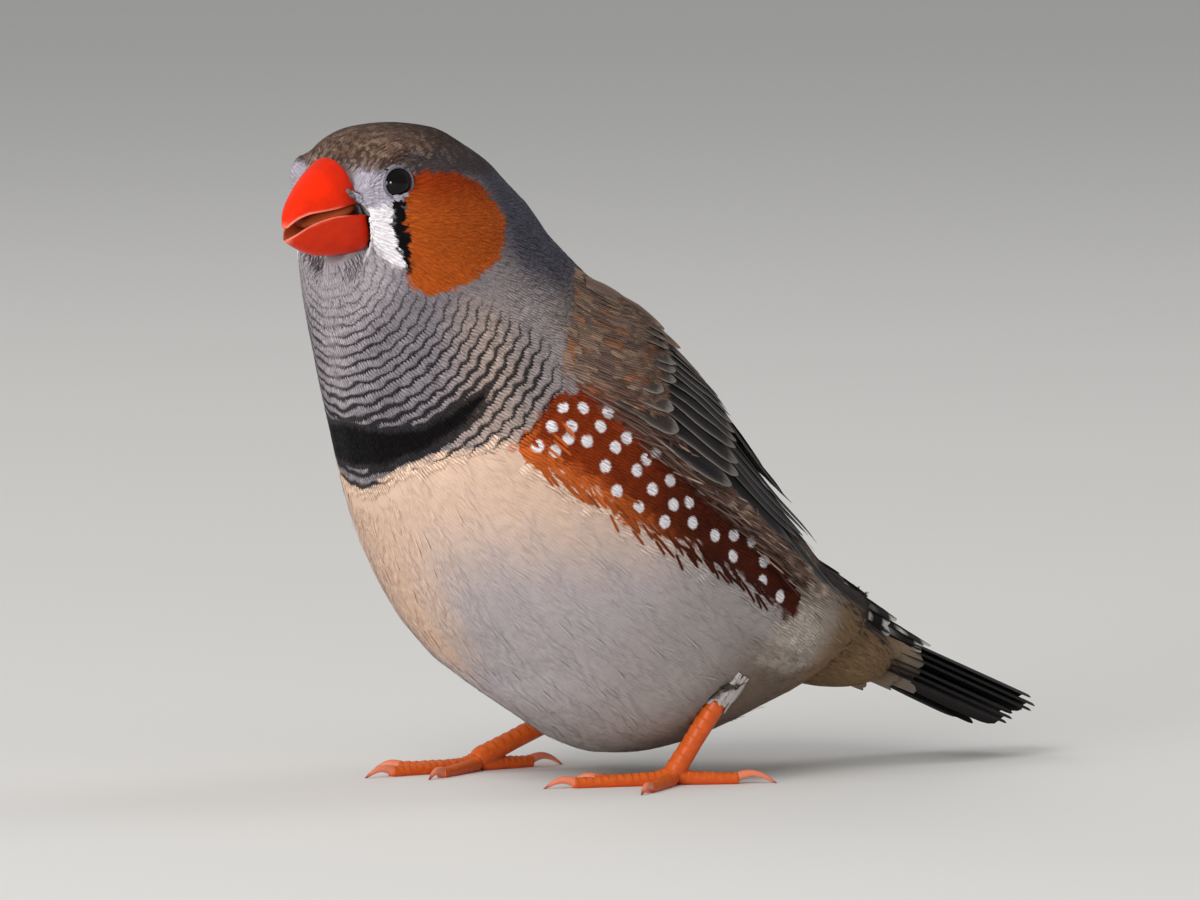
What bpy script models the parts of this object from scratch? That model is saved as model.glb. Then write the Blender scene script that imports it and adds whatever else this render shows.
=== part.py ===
"""A male zebra finch standing at rest, life size, as separate solids.

The bird's head end points to -Y, its left side to +X, and its soles stand on Z = 0.
All sizes below are in millimetres.
"""

import math

import bmesh
import bpy
import numpy as np
from mathutils import Vector
from mathutils.bvhtree import BVHTree

for thing in list(bpy.data.objects):
    bpy.data.objects.remove(thing)

MM = 0.001
GAP = 0.3
# The plan position of the frame's origin, under the middle of the whole bird.
ORIGIN = np.array([0.35, 8.85, 0.0])

# Sections of the body in plumage, from the crown down the neck and trunk to the tail's root:
# front y, front z, back y, back z, half width, share of the depth in front of the widest
# place, and the turn of the head in degrees that this section takes.
BODY = [
    (-22.0, 70.1, -22.0, 70.1, 0.0, 0.50, 20),
    (-26.2, 69.3, -17.6, 69.4, 5.3, 0.50, 20),
    (-29.2, 67.5, -14.6, 67.9, 7.9, 0.50, 20),
    (-31.2, 64.6, -10.9, 65.9, 9.5, 0.50, 20),
    (-32.2, 61.0, -7.6, 62.9, 10.3, 0.50, 20),
    (-32.0, 57.3, -4.5, 59.4, 10.8, 0.48, 20),
    (-31.2, 53.4, -1.5, 56.0, 11.5, 0.47, 16),
    (-30.0, 49.0, 2.2, 52.0, 13.0, 0.47, 10),
    (-28.7, 43.8, 7.4, 46.8, 15.2, 0.47, 4),
    (-27.2, 37.4, 12.6, 41.0, 17.2, 0.47, 0),
    (-25.2, 30.0, 17.0, 35.0, 18.4, 0.47, 0),
    (-21.8, 21.6, 21.2, 29.8, 18.6, 0.48, 0),
    (-16.0, 13.6, 24.6, 26.4, 18.0, 0.50, 0),
    (-6.8, 7.1, 26.8, 23.6, 16.4, 0.52, 0),
    (0.4, 2.8, 28.8, 21.6, 15.2, 0.55, 0),
    (8.6, 2.8, 30.8, 20.2, 13.0, 0.57, 0),
    (16.0, 5.4, 32.8, 19.0, 10.6, 0.57, 0),
    (23.0, 7.8, 34.8, 17.8, 8.2, 0.55, 0),
    (29.0, 9.2, 37.0, 16.6, 6.2, 0.52, 0),
    (34.5, 10.0, 39.5, 15.2, 4.2, 0.50, 0),
    (38.5, 12.4, 38.5, 12.4, 0.0, 0.50, 0),
]
PIVOT_Y = -22.1
ROUNDNESS = 2.1
RING = 24
# Where one node ends and the next begins, counted in sections, and rings per node.
NECK_TOP = 5.6
TORSO_TOP = 7.5
RUMP_TOP = 15.2
TAIL_TOP = 16.8
LAST = len(BODY) - 1

# Bill: its base centre, how far it points down, and sections along it:
# distance out, mouth edge height, far edge height, half width.
BILL_BASE = (3.6, -31.0, 61.6)
HEAD_TURN = 20.0
BILL_DROP = 20.4
BILL_UPPER = [
    (-1.6, 0.2, 4.9, 3.7),
    (0.0, 0.4, 5.1, 3.7),
    (1.4, 0.6, 5.1, 3.5),
    (2.8, 0.75, 4.6, 3.1),
    (4.2, 0.9, 3.65, 2.5),
    (5.4, 0.95, 2.7, 1.85),
    (6.4, 0.9, 1.95, 1.15),
    (7.1, 0.75, 1.25, 0.45),
]
BILL_LOWER = [
    (-1.6, -0.1, -4.9, 3.8),
    (0.0, 0.0, -4.85, 3.7),
    (1.6, 0.05, -4.5, 3.4),
    (3.2, 0.0, -3.85, 2.9),
    (4.8, -0.15, -3.0, 2.2),
    (6.0, -0.25, -2.0, 1.4),
    (6.8, -0.35, -1.0, 0.5),
]
NOSTRIL_RADIUS = 0.42

# Eyes, set in sockets with a raised rim of lid.
EYE_RADIUS = 1.75
EYE_FORWARD = 5.6
EYE_UP = 4.4
LID_RING = 1.9
LID_THICK = 0.42

# Legs: where each thigh starts inside the belly, where it lets the leg out, and the toes' joint.
LEGS = {
    "left": ((8.2, 9.0, 17.5), (13.2, 11.2, 10.4), (11.6, 5.7, 1.35)),
    "right": ((-8.0, 6.8, 15.0), (-12.2, 7.2, 6.4), (-11.0, -5.8, 1.35)),
}
THIGH_RADII = (4.2, 3.4, 2.2)
TARSUS_RADII = (1.15, 0.95, 0.9, 1.05)
STUB = 2.3
LEG_SUNK = 1.2
# Toes: heading in degrees from straight ahead, outwards is plus; length without the claw;
# radius at root and end; and the claw's length.
TOES = {
    "left": {
        "hallux": (160, 6.8, 0.95, 0.72, 4.4),
        "inner": (-36, 8.4, 0.85, 0.62, 2.8),
        "middle": (-10, 11.2, 0.95, 0.66, 3.4),
        "outer": (44, 8.6, 0.85, 0.62, 2.8),
    },
    "right": {
        "hallux": (172, 6.8, 0.95, 0.72, 4.4),
        "inner": (-34, 8.4, 0.85, 0.62, 2.8),
        "middle": (-6, 11.2, 0.95, 0.66, 3.4),
        "outer": (26, 8.6, 0.85, 0.62, 2.8),
    },
}
CLAW_RADIUS = 0.5
CLAW_BEND = 1.1
FLAT = 0.26

# Feathers. Each tier of a wing: how many, where its roots begin and end and where its tips
# begin and end, as distance along the trunk and angle from the back, the vane's width, its
# height over the body at root and tip, and how far its outer edge stands over its inner one.
WING_TIERS = {
    "primaries": (4, (13, 70), (18, 84), (43.8, 95), (37.5, 93), 4.6, 0.55, 0.75, 0.16),
    "secondaries": (4, (12, 44), (14, 70), (37.5, 62), (38.5, 82), 5.0, 0.75, 1.05, 0.24),
    "tertials": (3, (9, 24), (12, 44), (30, 20), (36, 42), 6.2, 1.0, 1.5, 0.26),
    "greater": (6, (5, 28), (9, 84), (17, 30), (21, 84), 5.2, 0.8, 1.95, 0.2),
    "median": (5, (1.5, 32), (4, 82), (10.5, 32), (13.5, 82), 5.4, 0.8, 2.2, 0.2),
    "lesser": (4, (-2.0, 40), (-1.5, 78), (5.5, 40), (7.5, 80), 5.6, 0.6, 2.1, 0.2),
    "scapulars": (4, (-1.5, 24), (6, 19), (9, 22), (22, 18), 6.2, 0.7, 2.0, 0.2),
}
# A vane's outline: share of its length and share of its width there.
VANE_OUTLINE = ((0.0, 0.5), (0.3, 0.92), (0.62, 1.0), (0.87, 0.76), (1.0, 0.2))
COVERT_OUTLINE = ((0.0, 0.5), (0.4, 0.95), (0.72, 1.0), (0.91, 0.72), (1.0, 0.26))
VANE_THICK = 0.55
TIP_THICK = 0.3
SPREAD = 0.25

# The tail: pairs of main feathers from the middle pair out, then coverts over and under them.
TAIL_ROOT = (0.0, 33.0, 16.1)
TAIL_DROP = 24.0
TAIL_PAIRS = 6
TAIL_LENGTH = 24.4
TAIL_STEP = 0.85
TAIL_WIDTH = 4.0
TAIL_FAN = (0.25, 0.62)
TAIL_LAYER = 0.64
TAIL_ROOF = 0.4
# Coverts over and under the tail: how many, first and last root on the length, length,
# width, height at root and tip, and how far to the sides they reach.
TAIL_COVERTS = {
    "upper_long": (4, 0.8, 12.5, 4.4, 0.5, 1.35, 2.4),
    "upper_short": (3, 1.0, 8.0, 4.8, 1.4, 2.3, 2.0),
    "under_long": (3, 1.5, 13.5, 4.2, -5.6, -5.4, 1.6),
    "under_short": (3, 0.0, 8.4, 4.6, -6.6, -6.6, 2.0),
}


# Colour and roughness of each finish.
MATERIALS = {
    "plumage_grey": ((0.36, 0.36, 0.37), 0.85),
    "plumage_pale": ((0.82, 0.78, 0.72), 0.85),
    "plumage_dark": ((0.20, 0.19, 0.19), 0.7),
    "bill": ((0.85, 0.18, 0.05), 0.35),
    "eye": ((0.02, 0.015, 0.015), 0.05),
    "leg": ((0.85, 0.33, 0.08), 0.5),
    "claw": ((0.75, 0.42, 0.30), 0.4),
}
# Edges that turn more than this stay sharp when a solid is shaded smooth.
CREASE = math.radians(40)


def finish(thing, name):
    """Gives the object its material and smooth shading."""
    material = bpy.data.materials.get(name)
    if material is None:
        colour, roughness = MATERIALS[name]
        material = bpy.data.materials.new(name)
        material.use_nodes = True
        material.diffuse_color = (*colour, 1.0)
        shader = material.node_tree.nodes["Principled BSDF"]
        shader.inputs["Base Color"].default_value = (*colour, 1.0)
        shader.inputs["Roughness"].default_value = roughness
        shader.inputs["Metallic"].default_value = 0.0
    thing.data.materials.clear()
    thing.data.materials.append(material)
    thing.data.shade_smooth()
    thing.data.set_sharp_from_angle(angle=CREASE)


def node(name, points, faces, colour):
    """One object from points in millimetres, its faces turned outwards."""
    mesh = bpy.data.meshes.new(name)
    placed = (np.asarray(points, float) - ORIGIN) * MM
    mesh.from_pydata(placed.tolist(), [], [tuple(f) for f in faces])
    made = bmesh.new()
    made.from_mesh(mesh)
    bmesh.ops.triangulate(made, faces=made.faces[:])
    bmesh.ops.recalc_face_normals(made, faces=made.faces[:])
    made.to_mesh(mesh)
    made.free()
    thing = bpy.data.objects.new(name, mesh)
    bpy.context.scene.collection.objects.link(thing)
    if colour:
        finish(thing, colour)
    return thing


def applied(thing):
    """Bakes the object's modifiers into its mesh."""
    graph = bpy.context.evaluated_depsgraph_get()
    graph.update()
    mesh = bpy.data.meshes.new_from_object(thing.evaluated_get(graph))
    thing.modifiers.clear()
    thing.data = mesh


def cut(thing, cutter):
    """Takes the cutter's shape out of the object and removes the cutter."""
    boolean = thing.modifiers.new("cut", "BOOLEAN")
    boolean.operation = "DIFFERENCE"
    boolean.solver = "EXACT"
    boolean.object = cutter
    colour = thing.data.materials[0].name
    applied(thing)
    finish(thing, colour)
    bpy.data.objects.remove(cutter)


def fuse(name, pieces, colour):
    """Joins closed meshes into one node by a single union and keeps its largest surface."""
    thing = pieces[0]
    group = bpy.data.collections.new(name + "_pieces")
    bpy.context.scene.collection.children.link(group)
    for piece in pieces[1:]:
        bpy.context.scene.collection.objects.unlink(piece)
        group.objects.link(piece)
    boolean = thing.modifiers.new("fuse", "BOOLEAN")
    boolean.operation = "UNION"
    boolean.solver = "EXACT"
    boolean.operand_type = "COLLECTION"
    boolean.collection = group
    applied(thing)
    for piece in pieces[1:]:
        bpy.data.objects.remove(piece)
    bpy.data.collections.remove(group)
    keep_largest(thing)
    thing.name = name
    thing.data.name = name
    finish(thing, colour)
    return thing


def keep_largest(thing):
    """Drops every closed surface of the mesh but the one with the most faces."""
    made = bmesh.new()
    made.from_mesh(thing.data)
    left = set(made.faces)
    shells = []
    while left:
        shell = set()
        front = [next(iter(left))]
        while front:
            face = front.pop()
            if face in shell:
                continue
            shell.add(face)
            for edge in face.edges:
                front.extend(other for other in edge.link_faces if other not in shell)
        left -= shell
        shells.append(shell)
    largest = max(shells, key=len)
    small = [face for shell in shells if shell is not largest for face in shell]
    bmesh.ops.delete(made, geom=small, context="FACES")
    bmesh.ops.triangulate(made, faces=made.faces[:])
    made.to_mesh(thing.data)
    made.free()


def smooth(rows, at):
    """The rows' values at a place counted in rows, on a smooth curve through them."""
    rows = np.asarray(rows, float)
    i = int(min(max(math.floor(at), 0), len(rows) - 2))
    f = at - i
    a, b = rows[i], rows[i + 1]
    before = rows[i - 1] if i > 0 else 2 * a - b
    after = rows[i + 2] if i + 2 < len(rows) else 2 * b - a
    slope_a, slope_b = (b - before) / 2, (after - a) / 2
    return (
        (2 * f**3 - 3 * f**2 + 1) * a
        + (f**3 - 2 * f**2 + f) * slope_a
        + (3 * f**2 - 2 * f**3) * b
        + (f**3 - f**2) * slope_b
    )


def body_ring(at, count=RING):
    """The ring of points round the body at a place counted in sections.

    It starts at the back and goes round by the bird's left side.
    """
    front_y, front_z, back_y, back_z, half, share, turn = smooth(BODY, at)
    half = max(half, 0.0)
    front = np.array([0.0, front_y, front_z])
    back = np.array([0.0, back_y, back_z])
    middle = front + (back - front) * share
    ring = []
    for k in range(count):
        angle = 2 * math.pi * k / count
        c, s = math.cos(angle), math.sin(angle)
        depth = abs(c) ** (2 / ROUNDNESS)
        side = math.copysign(abs(s) ** (2 / ROUNDNESS), s)
        p = middle + depth * ((back if c > 0 else front) - middle)
        p = p + np.array([half * side, 0.0, 0.0])
        ring.append(turned(p, turn))
    return np.array(ring)


def turned(p, degrees):
    """The point turned with the head about the upright line through the neck."""
    a = math.radians(degrees)
    x, y = p[0], p[1] - PIVOT_Y
    c, s = math.cos(a), math.sin(a)
    return np.array([x * c - y * s, x * s + y * c + PIVOT_Y, p[2]])


def lofted(rings):
    """Points and faces of the closed solid through rings with as many points each."""
    rings = [np.asarray(ring, float) for ring in rings]
    count = len(rings[0])
    points = [p for ring in rings for p in ring]
    faces = []
    for i in range(len(rings) - 1):
        for k in range(count):
            a, b = i * count + k, i * count + (k + 1) % count
            faces.append((a, b, b + count, a + count))
    for ring, start in ((rings[0], 0), (rings[-1], (len(rings) - 1) * count)):
        points.append(ring.mean(axis=0))
        centre = len(points) - 1
        for k in range(count):
            faces.append((start + k, start + (k + 1) % count, centre))
    return points, faces


def body_part(name, start, end, rings, colour):
    """The stretch of the body between two places, drawn back by half the gap at each cut."""
    start_at = start + section_step(start) * GAP / 2 if start > 0 else 0.12
    end_at = end - section_step(end) * GAP / 2 if end < LAST else LAST - 0.12
    places = [start_at + (end_at - start_at) * k / (rings - 1) for k in range(rings)]
    return node(name, *lofted([body_ring(at) for at in places]), colour)


def section_step(at):
    """How much of a section's count goes by in one millimetre, where the sections lie closest."""
    a, b = body_ring(at - 0.1), body_ring(at + 0.1)
    return 0.2 / np.linalg.norm(b - a, axis=1).min()


def tube(path, radii, sides):
    """Closed solid round a path, its rings level at the sides."""
    path = [np.asarray(p, float) for p in path]
    rings = []
    for i, p in enumerate(path):
        ahead = path[min(i + 1, len(path) - 1)] - path[max(i - 1, 0)]
        ahead /= np.linalg.norm(ahead)
        side = np.cross(ahead, (0, 0, 1))
        if np.linalg.norm(side) < 1e-3:
            side = np.array([1.0, 0, 0])
        side /= np.linalg.norm(side)
        over = np.cross(side, ahead)
        turns = [2 * math.pi * k / sides for k in range(sides)]
        rings.append([p + radii[i] * (math.cos(t) * side + math.sin(t) * over) for t in turns])
    return lofted(rings)


def ball(centre, radius, rings=10, sides=16, along=(1, 0, 0), stretch=1.0):
    """Closed ball whose poles lie along one direction, squeezed or stretched that way."""
    along = np.asarray(along, float) / np.linalg.norm(along)
    side = np.cross(along, (0, 0, 1.0))
    side /= np.linalg.norm(side)
    over = np.cross(side, along)
    made = []
    for i in range(1, rings):
        angle = math.pi * i / rings
        middle = np.asarray(centre) + radius * math.cos(angle) * stretch * along
        wide = radius * math.sin(angle)
        turns = [2 * math.pi * k / sides for k in range(sides)]
        made.append([middle + wide * (math.cos(t) * side + math.sin(t) * over) for t in turns])
    points, faces = lofted(made)
    points[-2] = np.asarray(centre) + radius * stretch * along
    points[-1] = np.asarray(centre) - radius * stretch * along
    return points, faces


def ring_solid(centre, axis, major, minor, around=20, sides=6):
    """A ring of round section, such as an eyelid's rim."""
    axis = np.asarray(axis, float) / np.linalg.norm(axis)
    side = np.cross(axis, (0, 0, 1.0))
    side /= np.linalg.norm(side)
    over = np.cross(side, axis)
    points, faces = [], []
    for i in range(around):
        t = 2 * math.pi * i / around
        out = math.cos(t) * side + math.sin(t) * over
        for k in range(sides):
            a = 2 * math.pi * k / sides
            reach = out * (major + minor * math.cos(a)) + axis * minor * math.sin(a)
            points.append(np.asarray(centre) + reach)
    for i in range(around):
        for k in range(sides):
            a = i * sides + k
            b = i * sides + (k + 1) % sides
            c = ((i + 1) % around) * sides + (k + 1) % sides
            d = ((i + 1) % around) * sides + k
            faces.append((a, b, c, d))
    return points, faces


def head_axes(drop):
    """Forward, left and up of the turned head, pointing down by so many degrees."""
    a, d = math.radians(HEAD_TURN), math.radians(drop)
    level = math.cos(d)
    forward = np.array([math.sin(a) * level, -math.cos(a) * level, -math.sin(d)])
    left = np.array([math.cos(a), math.sin(a), 0.0])
    return forward, left, np.cross(forward, left)


def bill_solid(sections, grow=0.0, sides=9):
    """One half of the bill, its mouth edges level and its far side arched."""
    forward, left, up = head_axes(BILL_DROP)
    rings = []
    for out, mouth, far, half in sections:
        sign = 1 if far > mouth else -1
        mouth = mouth - sign * grow
        half = half + grow
        height = abs(far - mouth) + grow
        ring = []
        for k in range(sides):
            a = math.pi * k / (sides - 1)
            across = half * math.copysign(abs(math.cos(a)) ** 0.9, math.cos(a))
            rise = height * abs(math.sin(a)) ** 0.85
            ring.append(np.array(BILL_BASE) + forward * out + left * across + up * (mouth + sign * rise))
        edge = np.array(BILL_BASE) + forward * out + up * mouth
        ring.append(edge - left * half * 0.4)
        ring.append(edge + left * half * 0.4)
        rings.append(ring)
    return lofted(rings)


# The whole body as one fine surface, on which feathers are laid.
FINE = [0.1 + (LAST - 0.2) * k / 90 for k in range(91)]
fine_points, fine_faces = lofted([body_ring(at, 48) for at in FINE])
surface = BVHTree.FromPolygons([tuple(p) for p in fine_points], [tuple(f) for f in fine_faces])

AXIS_FROM = np.array([0.0, -8.0, 42.0])
AXIS_TO = np.array([0.0, 34.0, 13.0])
AXIS = (AXIS_TO - AXIS_FROM) / np.linalg.norm(AXIS_TO - AXIS_FROM)
DORSAL = np.array([0.0, -AXIS[2], AXIS[1]])


def on_body(along, angle, height):
    """The point at a distance along the trunk and an angle from its back to the left, so high up."""
    start = AXIS_FROM + AXIS * along
    a = math.radians(angle)
    out = math.cos(a) * DORSAL + math.sin(a) * np.array([1.0, 0, 0])
    hit, normal, _, _ = surface.ray_cast(Vector(start + out * 60), Vector(-out), 120)
    if hit is None:
        return start + out * (1.0 + height), out
    normal = np.array(normal)
    if normal @ out < 0:
        normal = -normal
    return np.array(hit) + normal * height, normal


def grid_solid(top, bottom):
    """Closed solid between two grids of points, split into triangles alike on both faces."""
    rows, columns = top.shape[:2]
    count = rows * columns
    points = list(top.reshape(-1, 3)) + list(bottom.reshape(-1, 3))
    faces = []
    for i in range(rows - 1):
        for j in range(columns - 1):
            a, b = i * columns + j, i * columns + j + 1
            c, d = b + columns, a + columns
            faces += [(a, b, c), (a, c, d)]
            faces += [(a + count, c + count, b + count), (a + count, d + count, c + count)]
    rim = [j for j in range(columns)]
    rim += [i * columns + columns - 1 for i in range(1, rows)]
    rim += [(rows - 1) * columns + j for j in range(columns - 2, -1, -1)]
    rim += [i * columns for i in range(rows - 2, 0, -1)]
    for k, a in enumerate(rim):
        b = rim[(k + 1) % len(rim)]
        faces += [(a, b, b + count), (a, b + count, a + count)]
    return points, faces


def tail_axes():
    """Backwards along the tail, and up from it."""
    d = math.radians(TAIL_DROP)
    return np.array([0.0, math.cos(d), -math.sin(d)]), np.array([0.0, math.sin(d), math.cos(d)])


def vane(centres, normals, widths, heights, rolls, thick, side=1, hug=None):
    """Closed vane along its centre line.

    Its outer edge stands higher by the roll and its inner edge lower, and hug lays each edge
    on a surface.
    """
    top, bottom = [], []
    for i, centre in enumerate(centres):
        ahead = centres[min(i + 1, len(centres) - 1)] - centres[max(i - 1, 0)]
        across = np.cross(ahead, normals[i]) * side
        across /= np.linalg.norm(across)
        upper, lower = [], []
        for sign in (-1, 1):
            p = centre + across * widths[i] / 2 * sign
            normal = normals[i]
            if hug:
                found, facing, _, _ = hug.find_nearest(Vector(p))
                facing = np.array(facing)
                normal = facing if facing @ normal > 0 else -facing
                p = np.array(found)
            lift = heights[i] + rolls[i] * sign
            upper.append(p + normal * (lift + thick[i] / 2))
            lower.append(p + normal * (lift - thick[i] / 2))
        top.append(upper)
        bottom.append(lower)
    return grid_solid(np.array(top), np.array(bottom))


def wing_vanes(side):
    """Every vane of one wing, tier by tier from the longest feathers out."""
    made = []
    for name, (count, root_a, root_b, tip_a, tip_b, width, low, high, roll) in WING_TIERS.items():
        flight = name in ("primaries", "secondaries", "tertials")
        outline = VANE_OUTLINE if flight else COVERT_OUTLINE
        for k in range(count):
            share = k / (count - 1)
            root = np.array(root_a) + (np.array(root_b) - root_a) * share
            tip = np.array(tip_a) + (np.array(tip_b) - tip_a) * share
            tip = tip + rng.uniform(-SPREAD, SPREAD, 2) * (1, 4)
            centres, normals, widths, heights, rolls, thick = [], [], [], [], [], []
            for along, broad in outline:
                place = root + (tip - root) * along
                p, n = on_body(place[0], place[1] * side, 0.0)
                centres.append(p)
                normals.append(n)
                widths.append(width * broad)
                heights.append(low + (high - low) * along)
                rolls.append(roll * broad)
                thick.append(VANE_THICK + (TIP_THICK - VANE_THICK) * along**4)
            points, faces = vane(centres, normals, widths, heights, rolls, thick, side, surface)
            made.append(node(name, points, faces, None))
    return made


def tail_vanes():
    """The tail's main feathers and the coverts over and under them."""
    back, up = tail_axes()
    root = np.array(TAIL_ROOT)
    made = []
    for k in range(TAIL_PAIRS):
        for side in (1, -1):
            low = -up * (TAIL_LAYER * (k + 0.5 * (side < 0)))
            start = root + low + np.array([side * (0.5 + TAIL_FAN[0] * k), 0, 0])
            end = root + low + np.array([side * (1.0 + TAIL_FAN[1] * k), 0, 0])
            end = end + back * (TAIL_LENGTH - TAIL_STEP * k + rng.uniform(-0.2, 0.2))
            centres = [start + (end - start) * along for along, _ in VANE_OUTLINE]
            widths = [TAIL_WIDTH * broad for _, broad in VANE_OUTLINE]
            rolls = [-TAIL_ROOF * broad for _, broad in VANE_OUTLINE]
            thick = [VANE_THICK, VANE_THICK, VANE_THICK, VANE_THICK, TIP_THICK]
            solid = vane(centres, [up] * 5, widths, [0.0] * 5, rolls, thick, side)
            made.append(node("rectrix", *solid, None))
    for name, (count, first, length, width, low, high, reach) in TAIL_COVERTS.items():
        for k in range(count):
            share = 2 * k / (count - 1) - 1
            start = root + back * first + np.array([share * reach * 0.6, 0, 0])
            end = start + back * (length - 1.2 * abs(share) + rng.uniform(-0.3, 0.3))
            end = end + np.array([share * reach * 0.7, 0, 0])
            over = 1 if low > 0 else -1
            tilt = up * math.cos(share * 0.5) + np.array([math.sin(share * 0.5) * over, 0, 0])
            drop = -abs(share) * 0.6 * over
            centres = [start + (end - start) * along + up * drop for along, _ in COVERT_OUTLINE]
            widths = [width * broad for _, broad in COVERT_OUTLINE]
            heights = [low + (high - low) * along for along, _ in COVERT_OUTLINE]
            thick = [VANE_THICK, VANE_THICK, VANE_THICK, VANE_THICK, TIP_THICK]
            made.append(node(name, *vane(centres, [tilt] * 5, widths, heights, [0.0] * 5, thick), None))
    return made


head = body_part("head", 0, NECK_TOP, 14, "plumage_grey")
neck = body_part("neck", NECK_TOP, TORSO_TOP, 5, "plumage_grey")
torso = body_part("torso", TORSO_TOP, RUMP_TOP, 16, "plumage_pale")
rump = body_part("rump", RUMP_TOP, TAIL_TOP, 6, "plumage_pale")

# Eyes and lids.
forward, left, up = head_axes(0)
head_centre = np.array([0.0, PIVOT_Y, 60.1])
for name, side in (("left", 1), ("right", -1)):
    look = forward * 0.35 + left * side
    look /= np.linalg.norm(look)
    place = head_centre + forward * EYE_FORWARD + up * EYE_UP
    hit, _, _, _ = surface.ray_cast(Vector(place + left * side * 40), Vector(-left * side), 80)
    centre = np.array(hit) - look * 0.9
    lid = node("lid", *ring_solid(np.array(hit) - look * 0.1, look, LID_RING, LID_THICK), None)
    head = fuse("head", [head, lid], "plumage_grey")
    cut(head, node("socket", *ball(centre, EYE_RADIUS + 0.22, 10, 20, look), None))
    node("eye_" + name, *ball(centre, EYE_RADIUS, 10, 20, look), "eye")

# Bill, with nostrils at its root and the head cut to clear it.
for name, sections in (("bill_upper", BILL_UPPER), ("bill_lower", BILL_LOWER)):
    deeper = [(sections[0][0] - GAP, *sections[0][1:])] + sections[1:]
    cut(head, node("bill_room", *bill_solid(deeper, GAP), None))
    node(name, *bill_solid(sections), "bill")
bill_forward, bill_left, bill_up = head_axes(BILL_DROP)
for side in (1, -1):
    spot = np.array(BILL_BASE) + bill_forward * 1.0 + bill_left * side * 2.5 + bill_up * 4.4
    hole = node("nostril", *ball(spot, NOSTRIL_RADIUS, 6, 8, (0.3, 1, 0)), None)
    cut(bpy.data.objects["bill_upper"], hole)


# Legs, feet and claws.
def toe_path(start, heading, length, thick):
    """Centres and radii of a toe that comes down from its root and runs along the floor."""
    ahead = np.array([math.sin(heading), -math.cos(heading), 0.0])
    path, radii = [], []
    for share, rise in ((0.0, 0.35), (0.14, 0.1), (0.34, 0.0), (0.6, 0.0), (0.82, 0.0), (1.0, 0.12)):
        radius = thick[0] + (thick[1] - thick[0]) * share
        radii.append(radius)
        path.append(start + ahead * length * share + np.array([0.0, 0.0, radius - FLAT + rise]))
    return path, radii, ahead


def on_floor(points, faces):
    """The same solid with whatever would sink below the floor made level with it."""
    return [np.array([p[0], p[1], max(p[2], 0.0)]) for p in points], faces


def claw_solid(start, ahead, length):
    """A claw that arches out of the toe's end and comes down to the floor."""
    path, radii = [], []
    for share in (0.0, 0.25, 0.5, 0.75, 1.0):
        rise = CLAW_BEND * (math.sin(math.pi * (0.18 + 0.82 * share)) - math.sin(math.pi * 0.18))
        path.append(start + ahead * length * share + np.array([0.0, 0.0, rise * (length / 4) - 0.1 * share]))
        radii.append(CLAW_RADIUS * (1 - share) ** 0.7 + 0.1)
    return tube(path, radii, 8)


for name, (inside, out, joint) in LEGS.items():
    side = 1 if name == "left" else -1
    inside, out, joint = np.array(inside), np.array(out), np.array(joint)
    run = (joint - out) / np.linalg.norm(joint - out)
    thigh_path = [inside, inside + (out - inside) * 0.55, out]
    stub_top = joint - run * STUB
    knee = out - run * LEG_SUNK
    shaft = stub_top - knee
    leg_path = [knee, knee + shaft * 0.35, knee + shaft * 0.75, stub_top - run * GAP]
    room = [inside - (out - inside) * 0.08, *thigh_path[1:2], out + (out - inside) * 0.05]
    cut(torso, node("room", *tube(room, [r + GAP for r in THIGH_RADII], 14), None))
    shin = [knee - run * GAP, *leg_path[1:3], leg_path[3] + run]
    shin_radii = [r + GAP for r in TARSUS_RADII]
    cut(torso, node("room", *tube(shin, shin_radii, 12), None))
    tuft = node("thigh_" + name, *tube(thigh_path, THIGH_RADII, 14), "plumage_pale")
    cut(tuft, node("room", *tube(shin, shin_radii, 12), None))
    node("tarsus_" + name, *tube(leg_path, TARSUS_RADII, 10), "leg")
    pieces = [node("stub", *tube([stub_top, joint - run * 0.4], [TARSUS_RADII[3]] * 2, 10), None)]
    ankle = on_floor(*ball(joint - run * 0.3, 1.15, 7, 10, (0.2, 0.1, 1)))
    pieces.append(node("joint", *ankle, None))
    for toe, (heading, length, thick, thin, claw) in TOES[name].items():
        start = np.array([joint[0], joint[1], 0.0])
        path, radii, ahead = toe_path(start, math.radians(heading) * side, length, (thick, thin))
        pieces.append(node("toe", *on_floor(*tube(path, radii, 10)), None))
        tip = on_floor(*claw_solid(path[-1] + ahead * GAP, ahead, claw))
        node("claw_" + toe + "_" + name, *tip, "claw")
    fuse("foot_" + name, pieces, "leg")

rng = np.random.default_rng(7)
tail_core = body_part("tail_core", TAIL_TOP, LAST, 7, "plumage_pale")
tail = fuse("tail", [tail_core, *tail_vanes()], "plumage_dark")
for name, side in (("left", 1), ("right", -1)):
    fuse("wing_" + name, wing_vanes(side), "plumage_dark")
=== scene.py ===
"""A male zebra finch, life size: skin, feathers, bill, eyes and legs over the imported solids."""

import math

import bpy
import numpy as np
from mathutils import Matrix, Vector
from mathutils.bvhtree import BVHTree
from mathutils.kdtree import KDTree


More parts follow.
